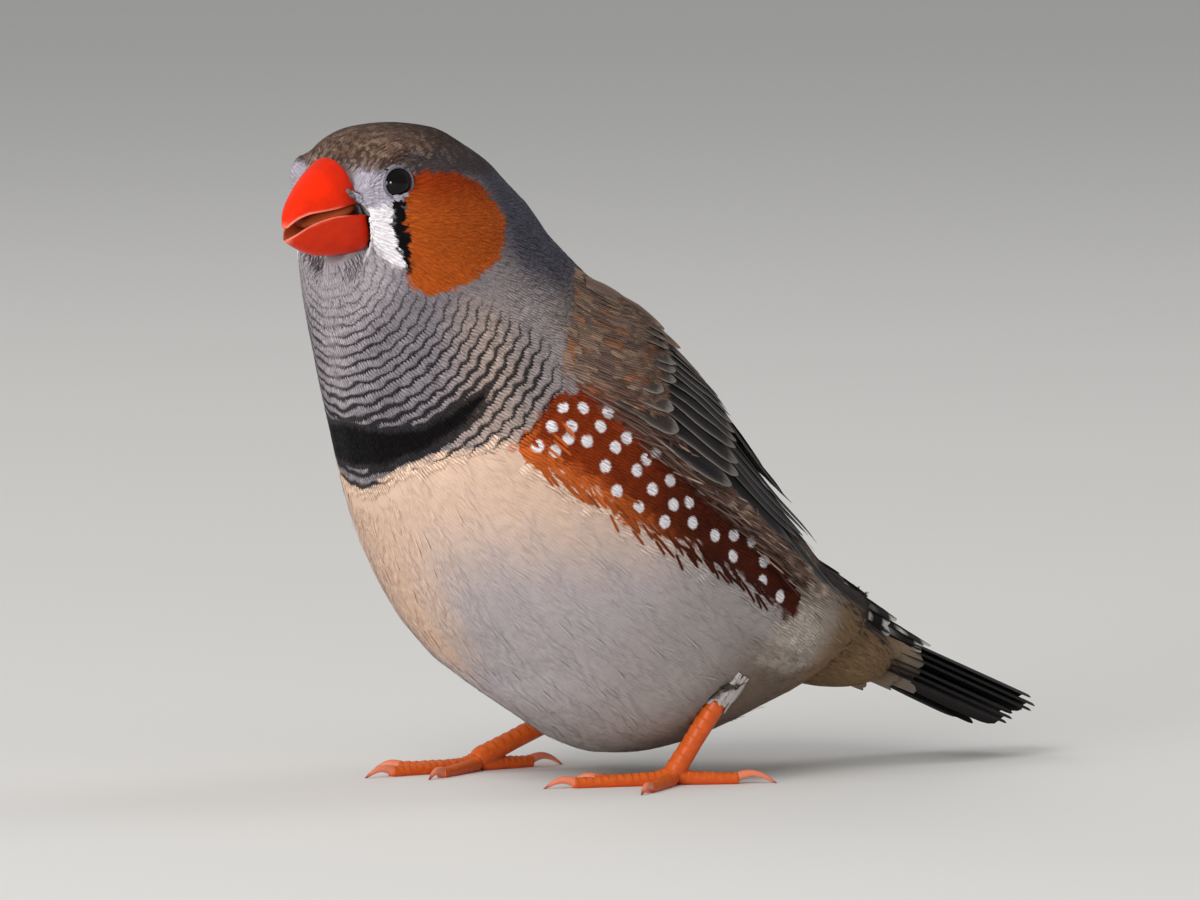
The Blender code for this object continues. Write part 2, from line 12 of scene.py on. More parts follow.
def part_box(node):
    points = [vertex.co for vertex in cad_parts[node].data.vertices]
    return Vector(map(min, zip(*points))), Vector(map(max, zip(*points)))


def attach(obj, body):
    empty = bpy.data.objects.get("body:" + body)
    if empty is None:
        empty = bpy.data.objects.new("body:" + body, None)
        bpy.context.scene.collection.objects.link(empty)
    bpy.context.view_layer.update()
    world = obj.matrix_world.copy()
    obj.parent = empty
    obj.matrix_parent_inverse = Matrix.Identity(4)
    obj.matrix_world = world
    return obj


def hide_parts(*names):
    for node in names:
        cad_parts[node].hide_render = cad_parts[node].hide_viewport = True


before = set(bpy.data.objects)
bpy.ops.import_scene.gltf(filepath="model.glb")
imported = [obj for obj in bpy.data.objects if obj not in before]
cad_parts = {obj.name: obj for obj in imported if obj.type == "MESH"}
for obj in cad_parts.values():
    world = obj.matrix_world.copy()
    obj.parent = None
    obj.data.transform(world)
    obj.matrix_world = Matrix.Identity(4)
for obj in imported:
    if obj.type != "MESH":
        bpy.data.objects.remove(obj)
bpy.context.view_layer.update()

# View, light and floor
# The bird is seen from its left front, almost level, through a long lens. A large soft light
# stands by the camera, a weaker one fills the other side, and the floor is plain and pale.
MM = 0.001
# Where the bird's own measuring point lies in the frame: all millimetres below count from it.
MEASURED_FROM = np.array([-0.35, -8.85, 0.0])
VIEW_AZIMUTH = math.radians(62)
VIEW_ELEVATION = math.radians(6)
VIEW_DISTANCE = 1500.0
VIEW_WIDTH = 127.66
VIEW_RIGHT = 2.66
VIEW_UP = 34.8
SENSOR = 36.0

level = math.cos(VIEW_ELEVATION)
back = np.array([math.sin(VIEW_AZIMUTH) * level, -math.cos(VIEW_AZIMUTH) * level, math.sin(VIEW_ELEVATION)])
right = np.array([math.cos(VIEW_AZIMUTH), math.sin(VIEW_AZIMUTH), 0.0])
up = np.cross(back, right)
aim = MEASURED_FROM + right * VIEW_RIGHT + up * VIEW_UP


def aimed(thing, place, target):
    """Stands a camera or light at a place, both in millimetres, and turns it to its target."""
    thing.location = Vector(place) * MM
    thing.rotation_euler = (Vector(place) - Vector(target)).to_track_quat("Z", "Y").to_euler()


bpy.ops.object.select_all(action="DESELECT")
bpy.ops.object.camera_add()
camera = bpy.context.object
camera.name = "camera"
camera.data.sensor_width = SENSOR
camera.data.lens = SENSOR * VIEW_DISTANCE / VIEW_WIDTH
camera.data.clip_start = 0.05
camera.data.clip_end = 50.0
aimed(camera, MEASURED_FROM + back * VIEW_DISTANCE, aim)
bpy.context.scene.camera = camera

# Each light: how far round from the bird's front to its left, its height as an angle, its
# distance and size in millimetres, its power, and its colour.
LIGHTS = {
    "key": (26, 38, 900, 700, 4.4, (1.0, 0.97, 0.93)),
    "catch": (34, 3, 1000, 230, 4.0, (1.0, 1.0, 1.0)),
    "fill": (110, 20, 1200, 700, 0.6, (0.95, 0.97, 1.0)),
    "far": (-75, 40, 1000, 600, 1.3, (1.0, 0.98, 0.95)),
    "rear": (185, 50, 1100, 600, 1.5, (1.0, 1.0, 1.0)),
}
for name, (azimuth, height, distance, size, power, colour) in LIGHTS.items():
    bpy.ops.object.light_add(type="AREA")
    light = bpy.context.object
    light.name = name
    light.data.shape = "DISK"
    light.data.size = size * MM
    light.data.energy = power
    light.data.color = colour
    light.visible_glossy = name == "catch"
    a, e = math.radians(azimuth), math.radians(height)
    away = np.array([math.sin(a) * math.cos(e), -math.cos(a) * math.cos(e), math.sin(e)])
    centre = MEASURED_FROM + np.array([0.0, 0.0, 38.0])
    aimed(light, centre + away * distance, centre)

world = bpy.data.worlds.new("studio")
world.use_nodes = True
world.node_tree.nodes["Background"].inputs["Color"].default_value = (0.86, 0.87, 0.88, 1)
world.node_tree.nodes["Background"].inputs["Strength"].default_value = 0.4
bpy.context.scene.world = world
bpy.context.scene.view_settings.view_transform = "Standard"


def finish(name, roughness, **sockets):
    """A material with its Principled shader's plain values set, and the shader and its tree."""
    material = bpy.data.materials.new(name)
    material.use_nodes = True
    shader = material.node_tree.nodes["Principled BSDF"]
    shader.inputs["Roughness"].default_value = roughness
    for socket, value in sockets.items():
        shader.inputs[socket.replace("_", " ")].default_value = value
    return material, shader, material.node_tree


def added(tree, kind, **settings):
    """A new node in the tree, with its settings and, by socket name or number, its values."""
    made = tree.nodes.new("ShaderNode" + kind)
    for key, value in settings.items():
        if key == "values":
            for socket, number in value.items():
                made.inputs[socket].default_value = number
        else:
            setattr(made, key, value)
    return made


bpy.ops.mesh.primitive_circle_add(vertices=96, radius=9.0, fill_type="NGON")
floor = bpy.context.object
floor.name = "floor"
material, shader, tree = finish("floor", 0.75)
shader.inputs["Base Color"].default_value = (0.82, 0.81, 0.79, 1)
floor.data.materials.append(material)

# Skin
# The bird's skin in one closed surface under the coat, from the solids of its head, neck,
# trunk and thighs. They are swollen until they meet, made one, smoothed and drawn in.
SWELL = 0.25
SKIN_VOXEL = 0.42
SKIN_ROUNDS = 34
FLESH = ["head", "neck", "torso", "rump", "thigh_left", "thigh_right"]
TAIL_ROOT_AT = (0.0, 29.0, 12.9)
TAIL_ROOT_SIZE = (6.6, 9.4, 4.4)
TAIL_ROOT_TILT = math.radians(-12)


def placed(points):
    """Points in millimetres from the measuring point, as places in the frame."""
    return (np.asarray(points, float) + MEASURED_FROM) * MM


def measured(points):
    """Places in the frame as points in millimetres from the measuring point."""
    return np.asarray(points, float) / MM - MEASURED_FROM


def coordinates(mesh):
    flat = np.empty(len(mesh.vertices) * 3, np.float32)
    mesh.vertices.foreach_get("co", flat)
    return flat.reshape(-1, 3).astype(float)


def normals_of(mesh):
    flat = np.empty(len(mesh.vertices) * 3, np.float32)
    mesh.vertex_normals.foreach_get("vector", flat)
    return flat.reshape(-1, 3).astype(float)


def smoothstep(low, high, value):
    share = np.clip((value - low) / (high - low), 0, 1)
    return share * share * (3 - 2 * share)


def copy_of(node):
    """A free copy of a solid, its loose triangles merged into one surface, and selected alone."""
    piece = bpy.data.objects.new(node + "_copy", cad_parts[node].data.copy())
    bpy.context.scene.collection.objects.link(piece)
    bpy.ops.object.select_all(action="DESELECT")
    piece.select_set(True)
    bpy.context.view_layer.objects.active = piece
    bpy.ops.object.mode_set(mode="EDIT")
    bpy.ops.mesh.select_all(action="SELECT")
    bpy.ops.mesh.remove_doubles(threshold=1e-6)
    bpy.ops.object.mode_set(mode="OBJECT")
    return piece


def modify(piece, kind, **settings):
    """Adds one modifier to the piece and applies it."""
    bpy.context.view_layer.objects.active = piece
    modifier = piece.modifiers.new(kind.lower(), kind)
    for key, value in settings.items():
        setattr(modifier, key, value)
    bpy.ops.object.modifier_apply(modifier=modifier.name)


parts = [copy_of(name) for name in FLESH]
bpy.ops.object.select_all(action="DESELECT")
bpy.ops.mesh.primitive_uv_sphere_add(segments=40, ring_count=20, location=placed(TAIL_ROOT_AT))
tail_root = bpy.context.object
tail_root.scale = [side * MM for side in TAIL_ROOT_SIZE]
tail_root.rotation_euler = (TAIL_ROOT_TILT, 0, 0)
bpy.ops.object.transform_apply(location=True, rotation=True, scale=True)
parts.append(tail_root)
# Plugs fill the eye sockets and the bill's seat, so that the coat's surface runs on over them.
BILL_BASE = np.array([3.6, -31.0, 61.6])
BILL_DROP = math.radians(20.4)
PIVOT_Y = -22.1
HEAD_TURN = math.radians(20)
BILL_PLUG = (1.0, 3.5, 4.7)


def head_axes(drop):
    """Forward, left and up of the turned head, pointing down by so much."""
    run = math.cos(drop)
    forward = np.array([math.sin(HEAD_TURN) * run, -math.cos(HEAD_TURN) * run, -math.sin(drop)])
    left = np.array([math.cos(HEAD_TURN), math.sin(HEAD_TURN), 0.0])
    return forward, left, np.cross(forward, left)


BILL_FORWARD, BILL_LEFT, BILL_UP = head_axes(BILL_DROP)


def beyond_bill(points):
    """Each point's distance out, aside and up from the bill's seat, and past the seat's outline."""
    rel = points - BILL_BASE
    out, aside, high = rel @ BILL_FORWARD, np.abs(rel @ BILL_LEFT), rel @ BILL_UP
    wide = np.where(high < 0, 3.95, 3.6)
    tall = np.where(high < 0, 5.3, 5.05)
    share = ((aside / wide) ** 2.6 + (np.abs(high) / tall) ** 2.6) ** (1 / 2.6)
    return out, aside, high, np.hypot(aside, high) * (1 - 1 / np.maximum(share, 1e-3))


bpy.ops.mesh.primitive_uv_sphere_add(segments=32, ring_count=16, location=placed(BILL_BASE))
plug = bpy.context.object
plug.scale = [side * MM for side in BILL_PLUG]
plug.rotation_euler = (0, BILL_DROP, math.radians(20 - 90))
bpy.ops.object.transform_apply(location=True, rotation=True, scale=True)
parts.append(plug)
EYE_SIZE = 1.72
eye_at = {}
for side in ("left", "right"):
    low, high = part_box("eye_" + side)
    eye_at[side] = measured((np.array(low) + np.array(high)) / 2)
    outward = 1 if side == "left" else -1
    ahead, out = (1.15, 0.05) if side == "left" else (-0.1, -0.1)
    eye_at[side] += np.array([0.342, -0.94, 0.1]) * ahead + np.array([0.94, 0.342, 0.0]) * out * outward
    bpy.ops.mesh.primitive_uv_sphere_add(segments=32, ring_count=16, location=placed(eye_at[side]))
    plug = bpy.context.object
    plug.scale = [EYE_SIZE * 0.94 * MM] * 3
    bpy.ops.object.transform_apply(location=True, rotation=True, scale=True)
    parts.append(plug)
# The opening where each shank leaves its thigh is plugged too, and feathers close round it.
KNEES = {"left": ((9.5, 9.6, 15.5), (12.6, 10.8, 11.4)), "right": ((-8.9, 6.9, 12.6), (-11.6, 7.15, 7.7))}
for inner, outer in KNEES.values():
    inner, outer = np.array(inner), np.array(outer)
    middle = placed(inner * 0.45 + outer * 0.55)
    bpy.ops.mesh.primitive_uv_sphere_add(segments=28, ring_count=18, location=middle)
    plug = bpy.context.object
    plug.scale = (2.2 * MM, 2.2 * MM, 3.4 * MM)
    plug.rotation_euler = Vector(outer - inner).to_track_quat("Z", "Y").to_euler()
    bpy.ops.object.transform_apply(location=True, rotation=True, scale=True)
    parts.append(plug)
for part in parts:
    modify(part, "DISPLACE", strength=SWELL * MM, mid_level=0.0)
    part.select_set(True)
skin = parts[0]
bpy.context.view_layer.objects.active = skin
for part in parts:
    part.select_set(True)
bpy.ops.object.join()
skin.name = skin.data.name = "skin"
skin.data.remesh_voxel_size = SKIN_VOXEL * MM
bpy.ops.object.voxel_remesh()
modify(skin, "SMOOTH", factor=0.5, iterations=SKIN_ROUNDS)

hull_points = measured(coordinates(skin.data))
hull_normals = normals_of(skin.data)
# Smoothing has sunk the crown and the nape a little: they are filled up again.
hull_height = hull_points[:, 2]
facing_back = hull_normals[:, 1]
crown_fill = 0.4 * smoothstep(57, 62, hull_height) * (1 - 0.7 * smoothstep(0.15, 0.6, facing_back))
nape_fill = 0.9 * smoothstep(0.1, 0.7, facing_back) * smoothstep(42, 52, hull_height)
nape_fill = nape_fill * smoothstep(65, 59, hull_height)
hull_points += hull_normals * (crown_fill + nape_fill - SWELL)[:, None]
# Beside the lower half of the bill the cheek falls back, so that the bill's corner stands clear.
out, aside, high, beyond = beyond_bill(hull_points)
too_far = np.maximum(out - (-1.55 + 0.9 * np.maximum(beyond, 0)), 0)
too_far = too_far * smoothstep(3.0, -0.5, high) * smoothstep(2.6, 1.6, beyond)
too_far = too_far * np.maximum(smoothstep(1.0, 2.6, aside), smoothstep(0.0, -1.2, beyond))
hull_points -= too_far[:, None] * BILL_FORWARD
# Round each eye the feathers rise to the lid.
LID_OUT = 0.82
eye_look = {}
for name, side in (("left", 1), ("right", -1)):
    forward, left, _ = head_axes(0.0)
    look = forward * 0.32 + left * side
    eye_look[name] = look / np.linalg.norm(look)
    from_eye = hull_points - eye_at[name]
    proud = from_eye @ eye_look[name]
    round_eye = np.linalg.norm(from_eye - proud[:, None] * eye_look[name], axis=1)
    rise = np.maximum(LID_OUT - 0.48 - 0.5 * np.maximum(round_eye - 1.8, 0) - proud, 0)
    rise = rise * smoothstep(5.0, 3.5, round_eye) * (proud > -2.5) * (1.0 if side > 0 else 0.3)
    hull_points += rise[:, None] * eye_look[name]
hull_faces = [tuple(face.vertices) for face in skin.data.polygons]
hull = BVHTree.FromPolygons(hull_points.tolist(), hull_faces)
corners = np.array([face if len(face) == 4 else (*face, face[2]) for face in hull_faces])
face_normals = hull_normals[corners].mean(axis=1)
face_normals /= np.linalg.norm(face_normals, axis=1, keepdims=True)

# Markings
# Where each colour lies, measured on the photo and mirrored to the other side. Head markings
# count from the head's own middle plane, trunk markings by distance and angle round its axis.
TURN_FROM, TURN_TO = 41.0, 57.0
AXIS_FROM = np.array([0.0, -8.0, 42.0])
AXIS = np.array([0.0, 42.0, -29.0]) / math.hypot(42.0, 29.0)
DORSAL = np.array([0.0, -AXIS[2], AXIS[1]])
# Outlines on the side of the head, as distance back from the pivot and height.
EAR = [(-5.1, 65.6), (-3.4, 66.0), (-1.9, 65.6), (0, 65.5), (2.7, 64.5), (5.2, 62.8), (6.5, 60.1),
       (6.1, 58.1), (4.8, 56.1), (2.1, 54.3), (-0.5, 53.2), (-3.1, 52.4), (-4.4, 53.0), (-5.2, 53.8),
       (-5.8, 56.5), (-6.1, 59.6), (-6.0, 62.2), (-5.8, 63.8)]
TEAR = [(-7.2, 62.8), (-6.1, 62.8), (-6.0, 60.7), (-5.4, 58.6), (-5.0, 56.3), (-5.0, 54.8),
        (-5.6, 55.3), (-6.25, 57.5), (-7.0, 60.2)]
LORE = [(-9.8, 61.8), (-6.8, 62.0), (-6.5, 59.1), (-5.8, 56.9), (-5.4, 55.9), (-6.2, 55.5),
        (-7.1, 56.0), (-7.9, 57.7), (-8.4, 59.1)]
LORE_TOP = [(-10.2, 62.8), (-9.9, 64.6), (-8.9, 65.9), (-6.5, 66.4), (-5.0, 66.0), (-5.5, 62.0),
            (-10.2, 61.0)]
# The black band's edges and the grey margin's lower edge: angle round from the front, height.
BAND_TOP = ((0, 21, 36, 45, 53, 60, 71, 90), (38.9, 38.4, 39.0, 40.6, 42.3, 43.4, 42.6, 40.0))
BAND_LOW = ((0, 19, 28, 35, 43, 50, 56, 62), (34.1, 34.5, 35.6, 36.2, 37.7, 39.2, 41.4, 45.0))
MARGIN_LOW = ((0, 8, 23, 34, 45, 56, 67, 80), (31.7, 31.8, 34.0, 35.1, 36.1, 36.9, 37.5, 38.5))
# The chestnut flank's outline and its white spots: distance along the trunk, angle from the back.
FLANK = [(-3.2, 118), (-2.4, 98), (1.0, 84), (3.0, 66), (34.0, 66), (35.5, 90), (36.6, 112), (32, 110),
         (26, 108), (20.8, 109), (15.5, 112), (10.7, 114), (6.4, 113), (2.5, 116)]
DEGREE = 0.3
SPOTS = [(-0.7, 92), (-1.2, 97), (0.9, 93), (-1.3, 105), (0.5, 101), (-3.0, 109), (0.8, 105),
         (2.7, 102), (-1.6, 113), (0.2, 111), (3.4, 95), (3.6, 89), (5.8, 105), (5.9, 98), (6.6, 93),
         (9.3, 100), (9.7, 95), (10.4, 91), (13.4, 96), (11.9, 102), (8.3, 109), (11.4, 109),
         (15.0, 108), (15.0, 102), (16.7, 98), (18.1, 103), (21.4, 102), (19.2, 90), (22.1, 91),
         (23.6, 98), (26.0, 96), (28.6, 99), (26.2, 89), (30.0, 91), (33.0, 97), (32.7, 106),
         (17.6, 92), (24.6, 104), (29.6, 105)]
SPOT_SIZE = 0.68
BAR_CENTRE = (334.0, 270.5)
PIXEL = 9.4
PIXEL_ORIGIN = (575.0, 777.0)


def unturned(points):
    """Points in the head's own axes: to its left, back from the pivot, and height."""
    turn = HEAD_TURN * smoothstep(TURN_FROM, TURN_TO, points[:, 2])
    x, y = points[:, 0], points[:, 1] - PIVOT_Y
    left = x * np.cos(turn) + y * np.sin(turn)
    behind = y * np.cos(turn) - x * np.sin(turn)
    return left, behind, points[:, 2], turn


def along_trunk(points):
    """Distance along the trunk's axis and angle from the back in degrees, to either side."""
    rel = points - AXIS_FROM
    far = rel @ AXIS
    rel = rel - far[:, None] * AXIS
    return far, np.degrees(np.abs(np.arctan2(rel[:, 0], rel @ DORSAL)))


def within(x, y, outline):
    """Signed distance to an outline, more than nothing inside it."""
    outline = np.array(outline, float)
    best = np.full(len(x), 1e9)
    inside = np.zeros(len(x), bool)
    for a, b in zip(outline, np.roll(outline, -1, axis=0)):
        run = b - a
        share = np.clip(((x - a[0]) * run[0] + (y - a[1]) * run[1]) / (run @ run), 0, 1)
        best = np.minimum(best, np.hypot(x - a[0] - share * run[0], y - a[1] - share * run[1]))
        crosses = (a[1] > y) != (b[1] > y)
        with np.errstate(divide="ignore", invalid="ignore"):
            where = a[0] + (y - a[1]) * run[0] / (run[1] if run[1] else 1e-9)
        inside ^= crosses & (x < where)
    return np.where(inside, best, -best)


def paint(red, green, blue):
    """A colour as seen on a screen, 0 to 255, in linear light."""
    screen = np.array([red, green, blue]) / 255
    return np.where(screen < 0.04045, screen / 12.92, ((screen + 0.055) / 1.055) ** 2.4)


CROWN = paint(102, 79, 67)
CROWN_BEHIND = paint(52, 43, 40)
TEMPLE = paint(66, 58, 59)
BROW = paint(128, 108, 98)
CROWN_DARK = paint(42, 33, 29)
CROWN_PALE = paint(142, 122, 108)
NAPE = paint(76, 74, 84)
SIDE_GREY = paint(140, 130, 130)
THROAT = paint(156, 149, 154)
THROAT_DARK = paint(120, 114, 120)
SIDE_NECK = paint(158, 141, 133)
LAVENDER = paint(165, 160, 172)
WHITE = paint(225, 220, 224)
CHESTNUT = paint(166, 76, 24)
CHESTNUT_TOP = paint(136, 48, 10)
FLANK_RED = paint(140, 52, 14)
FLANK_DARK = paint(56, 20, 9)
FLANK_GLOW = paint(176, 84, 34)
BLACK = paint(11, 9, 11)
CREAM = paint(212, 182, 161)
DOWN = paint(170, 161, 163)
DOWN_PAINTED_FILL = paint(190, 182, 186)
VENT = paint(112, 97, 86)
VENT_PALE = paint(172, 161, 150)
DOWN_REAR = paint(158, 150, 147)
BUFF = paint(128, 103, 76)
KNEE = paint(204, 196, 190)
MANTLE = paint(118, 106, 98)
RUMP = paint(62, 56, 54)
SHOULDER = paint(106, 86, 76)
SHOULDER_EDGE = paint(142, 116, 98)
RUST = paint(150, 96, 62)


def blended(base, colour, weight):
    return base + (np.asarray(colour) - base) * weight[:, None]


def markings(points):
    """Colour of the coat at each point, the neck bars' phase there and how black they are."""
    left, behind, height, turn = unturned(points)
    aside = np.abs(left)
    far, angle = along_trunk(points)
    low_down = np.degrees(np.arctan2(np.abs(points[:, 0]), -(points[:, 1] + 9)))
    high_up = np.degrees(np.arctan2(aside, (70 - height) * 0.47 - behind))
    around = low_down + (high_up - low_down) * smoothstep(42, 52, height)

    # Bars lie in rings round the chin, as the photo shows them, and fade on the neck's side.
    back_again = np.stack([aside * np.cos(turn) - behind * np.sin(turn),
                           aside * np.sin(turn) + behind * np.cos(turn) + PIVOT_Y, height], axis=1)
    across = back_again @ right * PIXEL + PIXEL_ORIGIN[0] - BAR_CENTRE[0]
    down = PIXEL_ORIGIN[1] - back_again @ up * PIXEL - BAR_CENTRE[1]
    ring = np.hypot(across, down)

    colour = np.tile(THROAT, (len(points), 1))
    colour = blended(colour, THROAT_DARK, smoothstep(45, 95, ring) * smoothstep(0, 55, across))
    colour = blended(colour, SIDE_NECK, smoothstep(38, 62, around) * smoothstep(56, 48, height))
    colour = blended(colour, SIDE_GREY, smoothstep(62, 80, around) * smoothstep(36, 42, height))
    colour = blended(colour, NAPE, smoothstep(98, 122, around) * smoothstep(36, 42, height))
    colour = blended(colour, NAPE, smoothstep(70, 110, around) * smoothstep(50, 57, height))
    colour = blended(colour, CROWN, smoothstep(65.0, 67.5, height) * smoothstep(9, 1, behind))
    colour = blended(colour, CROWN_BEHIND, smoothstep(64.0, 66.5, height) * smoothstep(-5.5, 1, behind) * 0.9)
    over_eye = smoothstep(64.5, 66, height) * smoothstep(68.6, 67.4, height)
    colour = blended(colour, TEMPLE, over_eye * smoothstep(-6.2, -4, behind))
    mantle = smoothstep(-7, 0, far) * smoothstep(74, 60, angle) * smoothstep(56, 50, height)
    colour = blended(colour, MANTLE, mantle)
    colour = blended(colour, RUMP, smoothstep(24, 31, far) * smoothstep(62, 48, angle))

    # Under the grey margin comes the belly, buff towards the vent.
    margin = np.interp(around, *MARGIN_LOW)
    below = smoothstep(0.5, -0.5, height - margin) * (angle > 80)
    belly = np.tile(CREAM, (len(points), 1))
    belly = blended(belly, DOWN, smoothstep(33, 19, height) * smoothstep(8, 60, around))
    # Painted light: low on the belly the down is made paler, a painted fill against the shade under the body.
    belly = blended(belly, DOWN_PAINTED_FILL, smoothstep(15, 8, height))
    belly = blended(belly, DOWN_REAR, smoothstep(16, 27, far))
    belly = blended(belly, VENT, smoothstep(27, 37, far) * smoothstep(112, 130, angle))
    belly = blended(belly, VENT_PALE, smoothstep(33.5, 36, far) * smoothstep(130, 116, angle))
    belly = blended(belly, BUFF, smoothstep(40, 45, far))
    trunk = (points[:, 1] > -9) | (height < margin)
    rear = smoothstep(112, 116, angle) * (far > 4)
    colour = blended(colour, belly, np.clip(below * trunk + rear, 0, 1) * (height < 46))
    hind = smoothstep(33, 36, far) * smoothstep(84, 92, angle)
    colour = blended(colour, belly, hind)
    colour = blended(colour, RUMP, smoothstep(28, 33, far) * smoothstep(92, 82, angle))
    flank = within(far, angle * DEGREE, [(s, a * DEGREE) for s, a in FLANK])
    red = blended(np.tile(FLANK_RED, (len(points), 1)), FLANK_DARK, 0.3 + 0.62 * smoothstep(3, 21, far))
    glow = smoothstep(2.2, 0.3, flank) * smoothstep(104, 112, angle) * smoothstep(22, 10, far)
    red = blended(red, FLANK_GLOW, glow)
    colour = blended(colour, red, smoothstep(-0.2, 0.2, flank))

    waver = np.sin(points @ (1.1, 0.7, 0.9)) * np.sin(points @ (-0.6, 1.3, 1.7) + 1.0)
    phase = np.log1p(ring * 0.014 / 8.6) / 0.014 + 0.2 * waver
    fade = (down + BAR_CENTRE[1]) - (300 + (across + BAR_CENTRE[0] - 450) * 0.5)
    shown = smoothstep(-14, 8, fade) * (height < 58.5)
    shown = shown * smoothstep(92, 76, around)
    top = np.interp(around, *BAND_TOP)
    low = np.interp(around, *BAND_LOW)
    band = np.minimum(top - height, height - low)
    bars = 0.11 + 0.05 * waver + 0.14 * smoothstep(55, 46, height) + 0.22 * smoothstep(-5, -0.3, band)
    bars = bars + 1.1 * smoothstep(-0.7, 0.5, band)
    bars = bars * np.where(height < low, 0.9, 1.0)
    bars = bars * shown * (1 - below) * smoothstep(0.1, -0.4, flank)
    bars = np.where((height > margin - 0.5) & (points[:, 1] < -2), bars, 0)

    side = (aside > 3.0) & (height > 50)
    ear = within(behind, height, EAR)
    colour = blended(colour, BROW, smoothstep(61.5, 63.5, height) * smoothstep(-9.2, -10.2, behind))
    far_brow = smoothstep(61.5, 63.0, height) * smoothstep(-6.6, -7.8, behind) * (left < -2)
    colour = blended(colour, BROW, far_brow)
    lores = smoothstep(-0.3, 0.3, within(behind, height, LORE_TOP)) * side
    lores = lores * np.where(left < 0, smoothstep(-8.6, -7.4, behind), 1)
    colour = blended(colour, LAVENDER, lores)
    colour = blended(colour, WHITE, smoothstep(-0.25, 0.2, within(behind, height, LORE)) * side)
    chestnut = blended(np.tile(CHESTNUT, (len(points), 1)), CHESTNUT_TOP, smoothstep(60.5, 65, height))
    colour = blended(colour, chestnut, smoothstep(-0.15, 0.15, ear) * side)
    black = smoothstep(-0.12, 0.12, within(behind, height, TEAR)) * side
    # A black line runs down the bill's rear edge and widens beside its lower half.
    out, bill_aside, high, beyond = beyond_bill(points)
    line = 0.35 + 0.5 * smoothstep(0.5, -1.5, high)
    line = smoothstep(line + 0.12, line - 0.12, beyond) * smoothstep(2.6, 0.8, high)
    line = line * (out > -4) * (height > 50)
    black = np.maximum(black, line * smoothstep(2.3, 3.0, bill_aside))
    colour = blended(colour, BLACK, black)
    clear = np.maximum(smoothstep(-0.4, 0.0, ear), smoothstep(-0.3, 0.0, within(behind, height, LORE))) * side
    bars = bars * (1 - clear) * (1 - black)
    strength = 0.55 + 0.35 * smoothstep(56, 46, height)
    mid_throat = np.exp(-((across / 10) ** 2)) * smoothstep(40, 44, height)
    strength = strength * smoothstep(18, 42, ring) * (1 - 0.6 * mid_throat)
    strength = np.maximum(strength, smoothstep(-0.4, 0.4, band))
    return colour, phase, bars, ear * side, flank, strength


# Plumage finish
# Base colour and fine relief of all soft plumage: dark bars where the coat carries them, and
# the combed lines of the barbs, which also ruffle the edge of every bar.


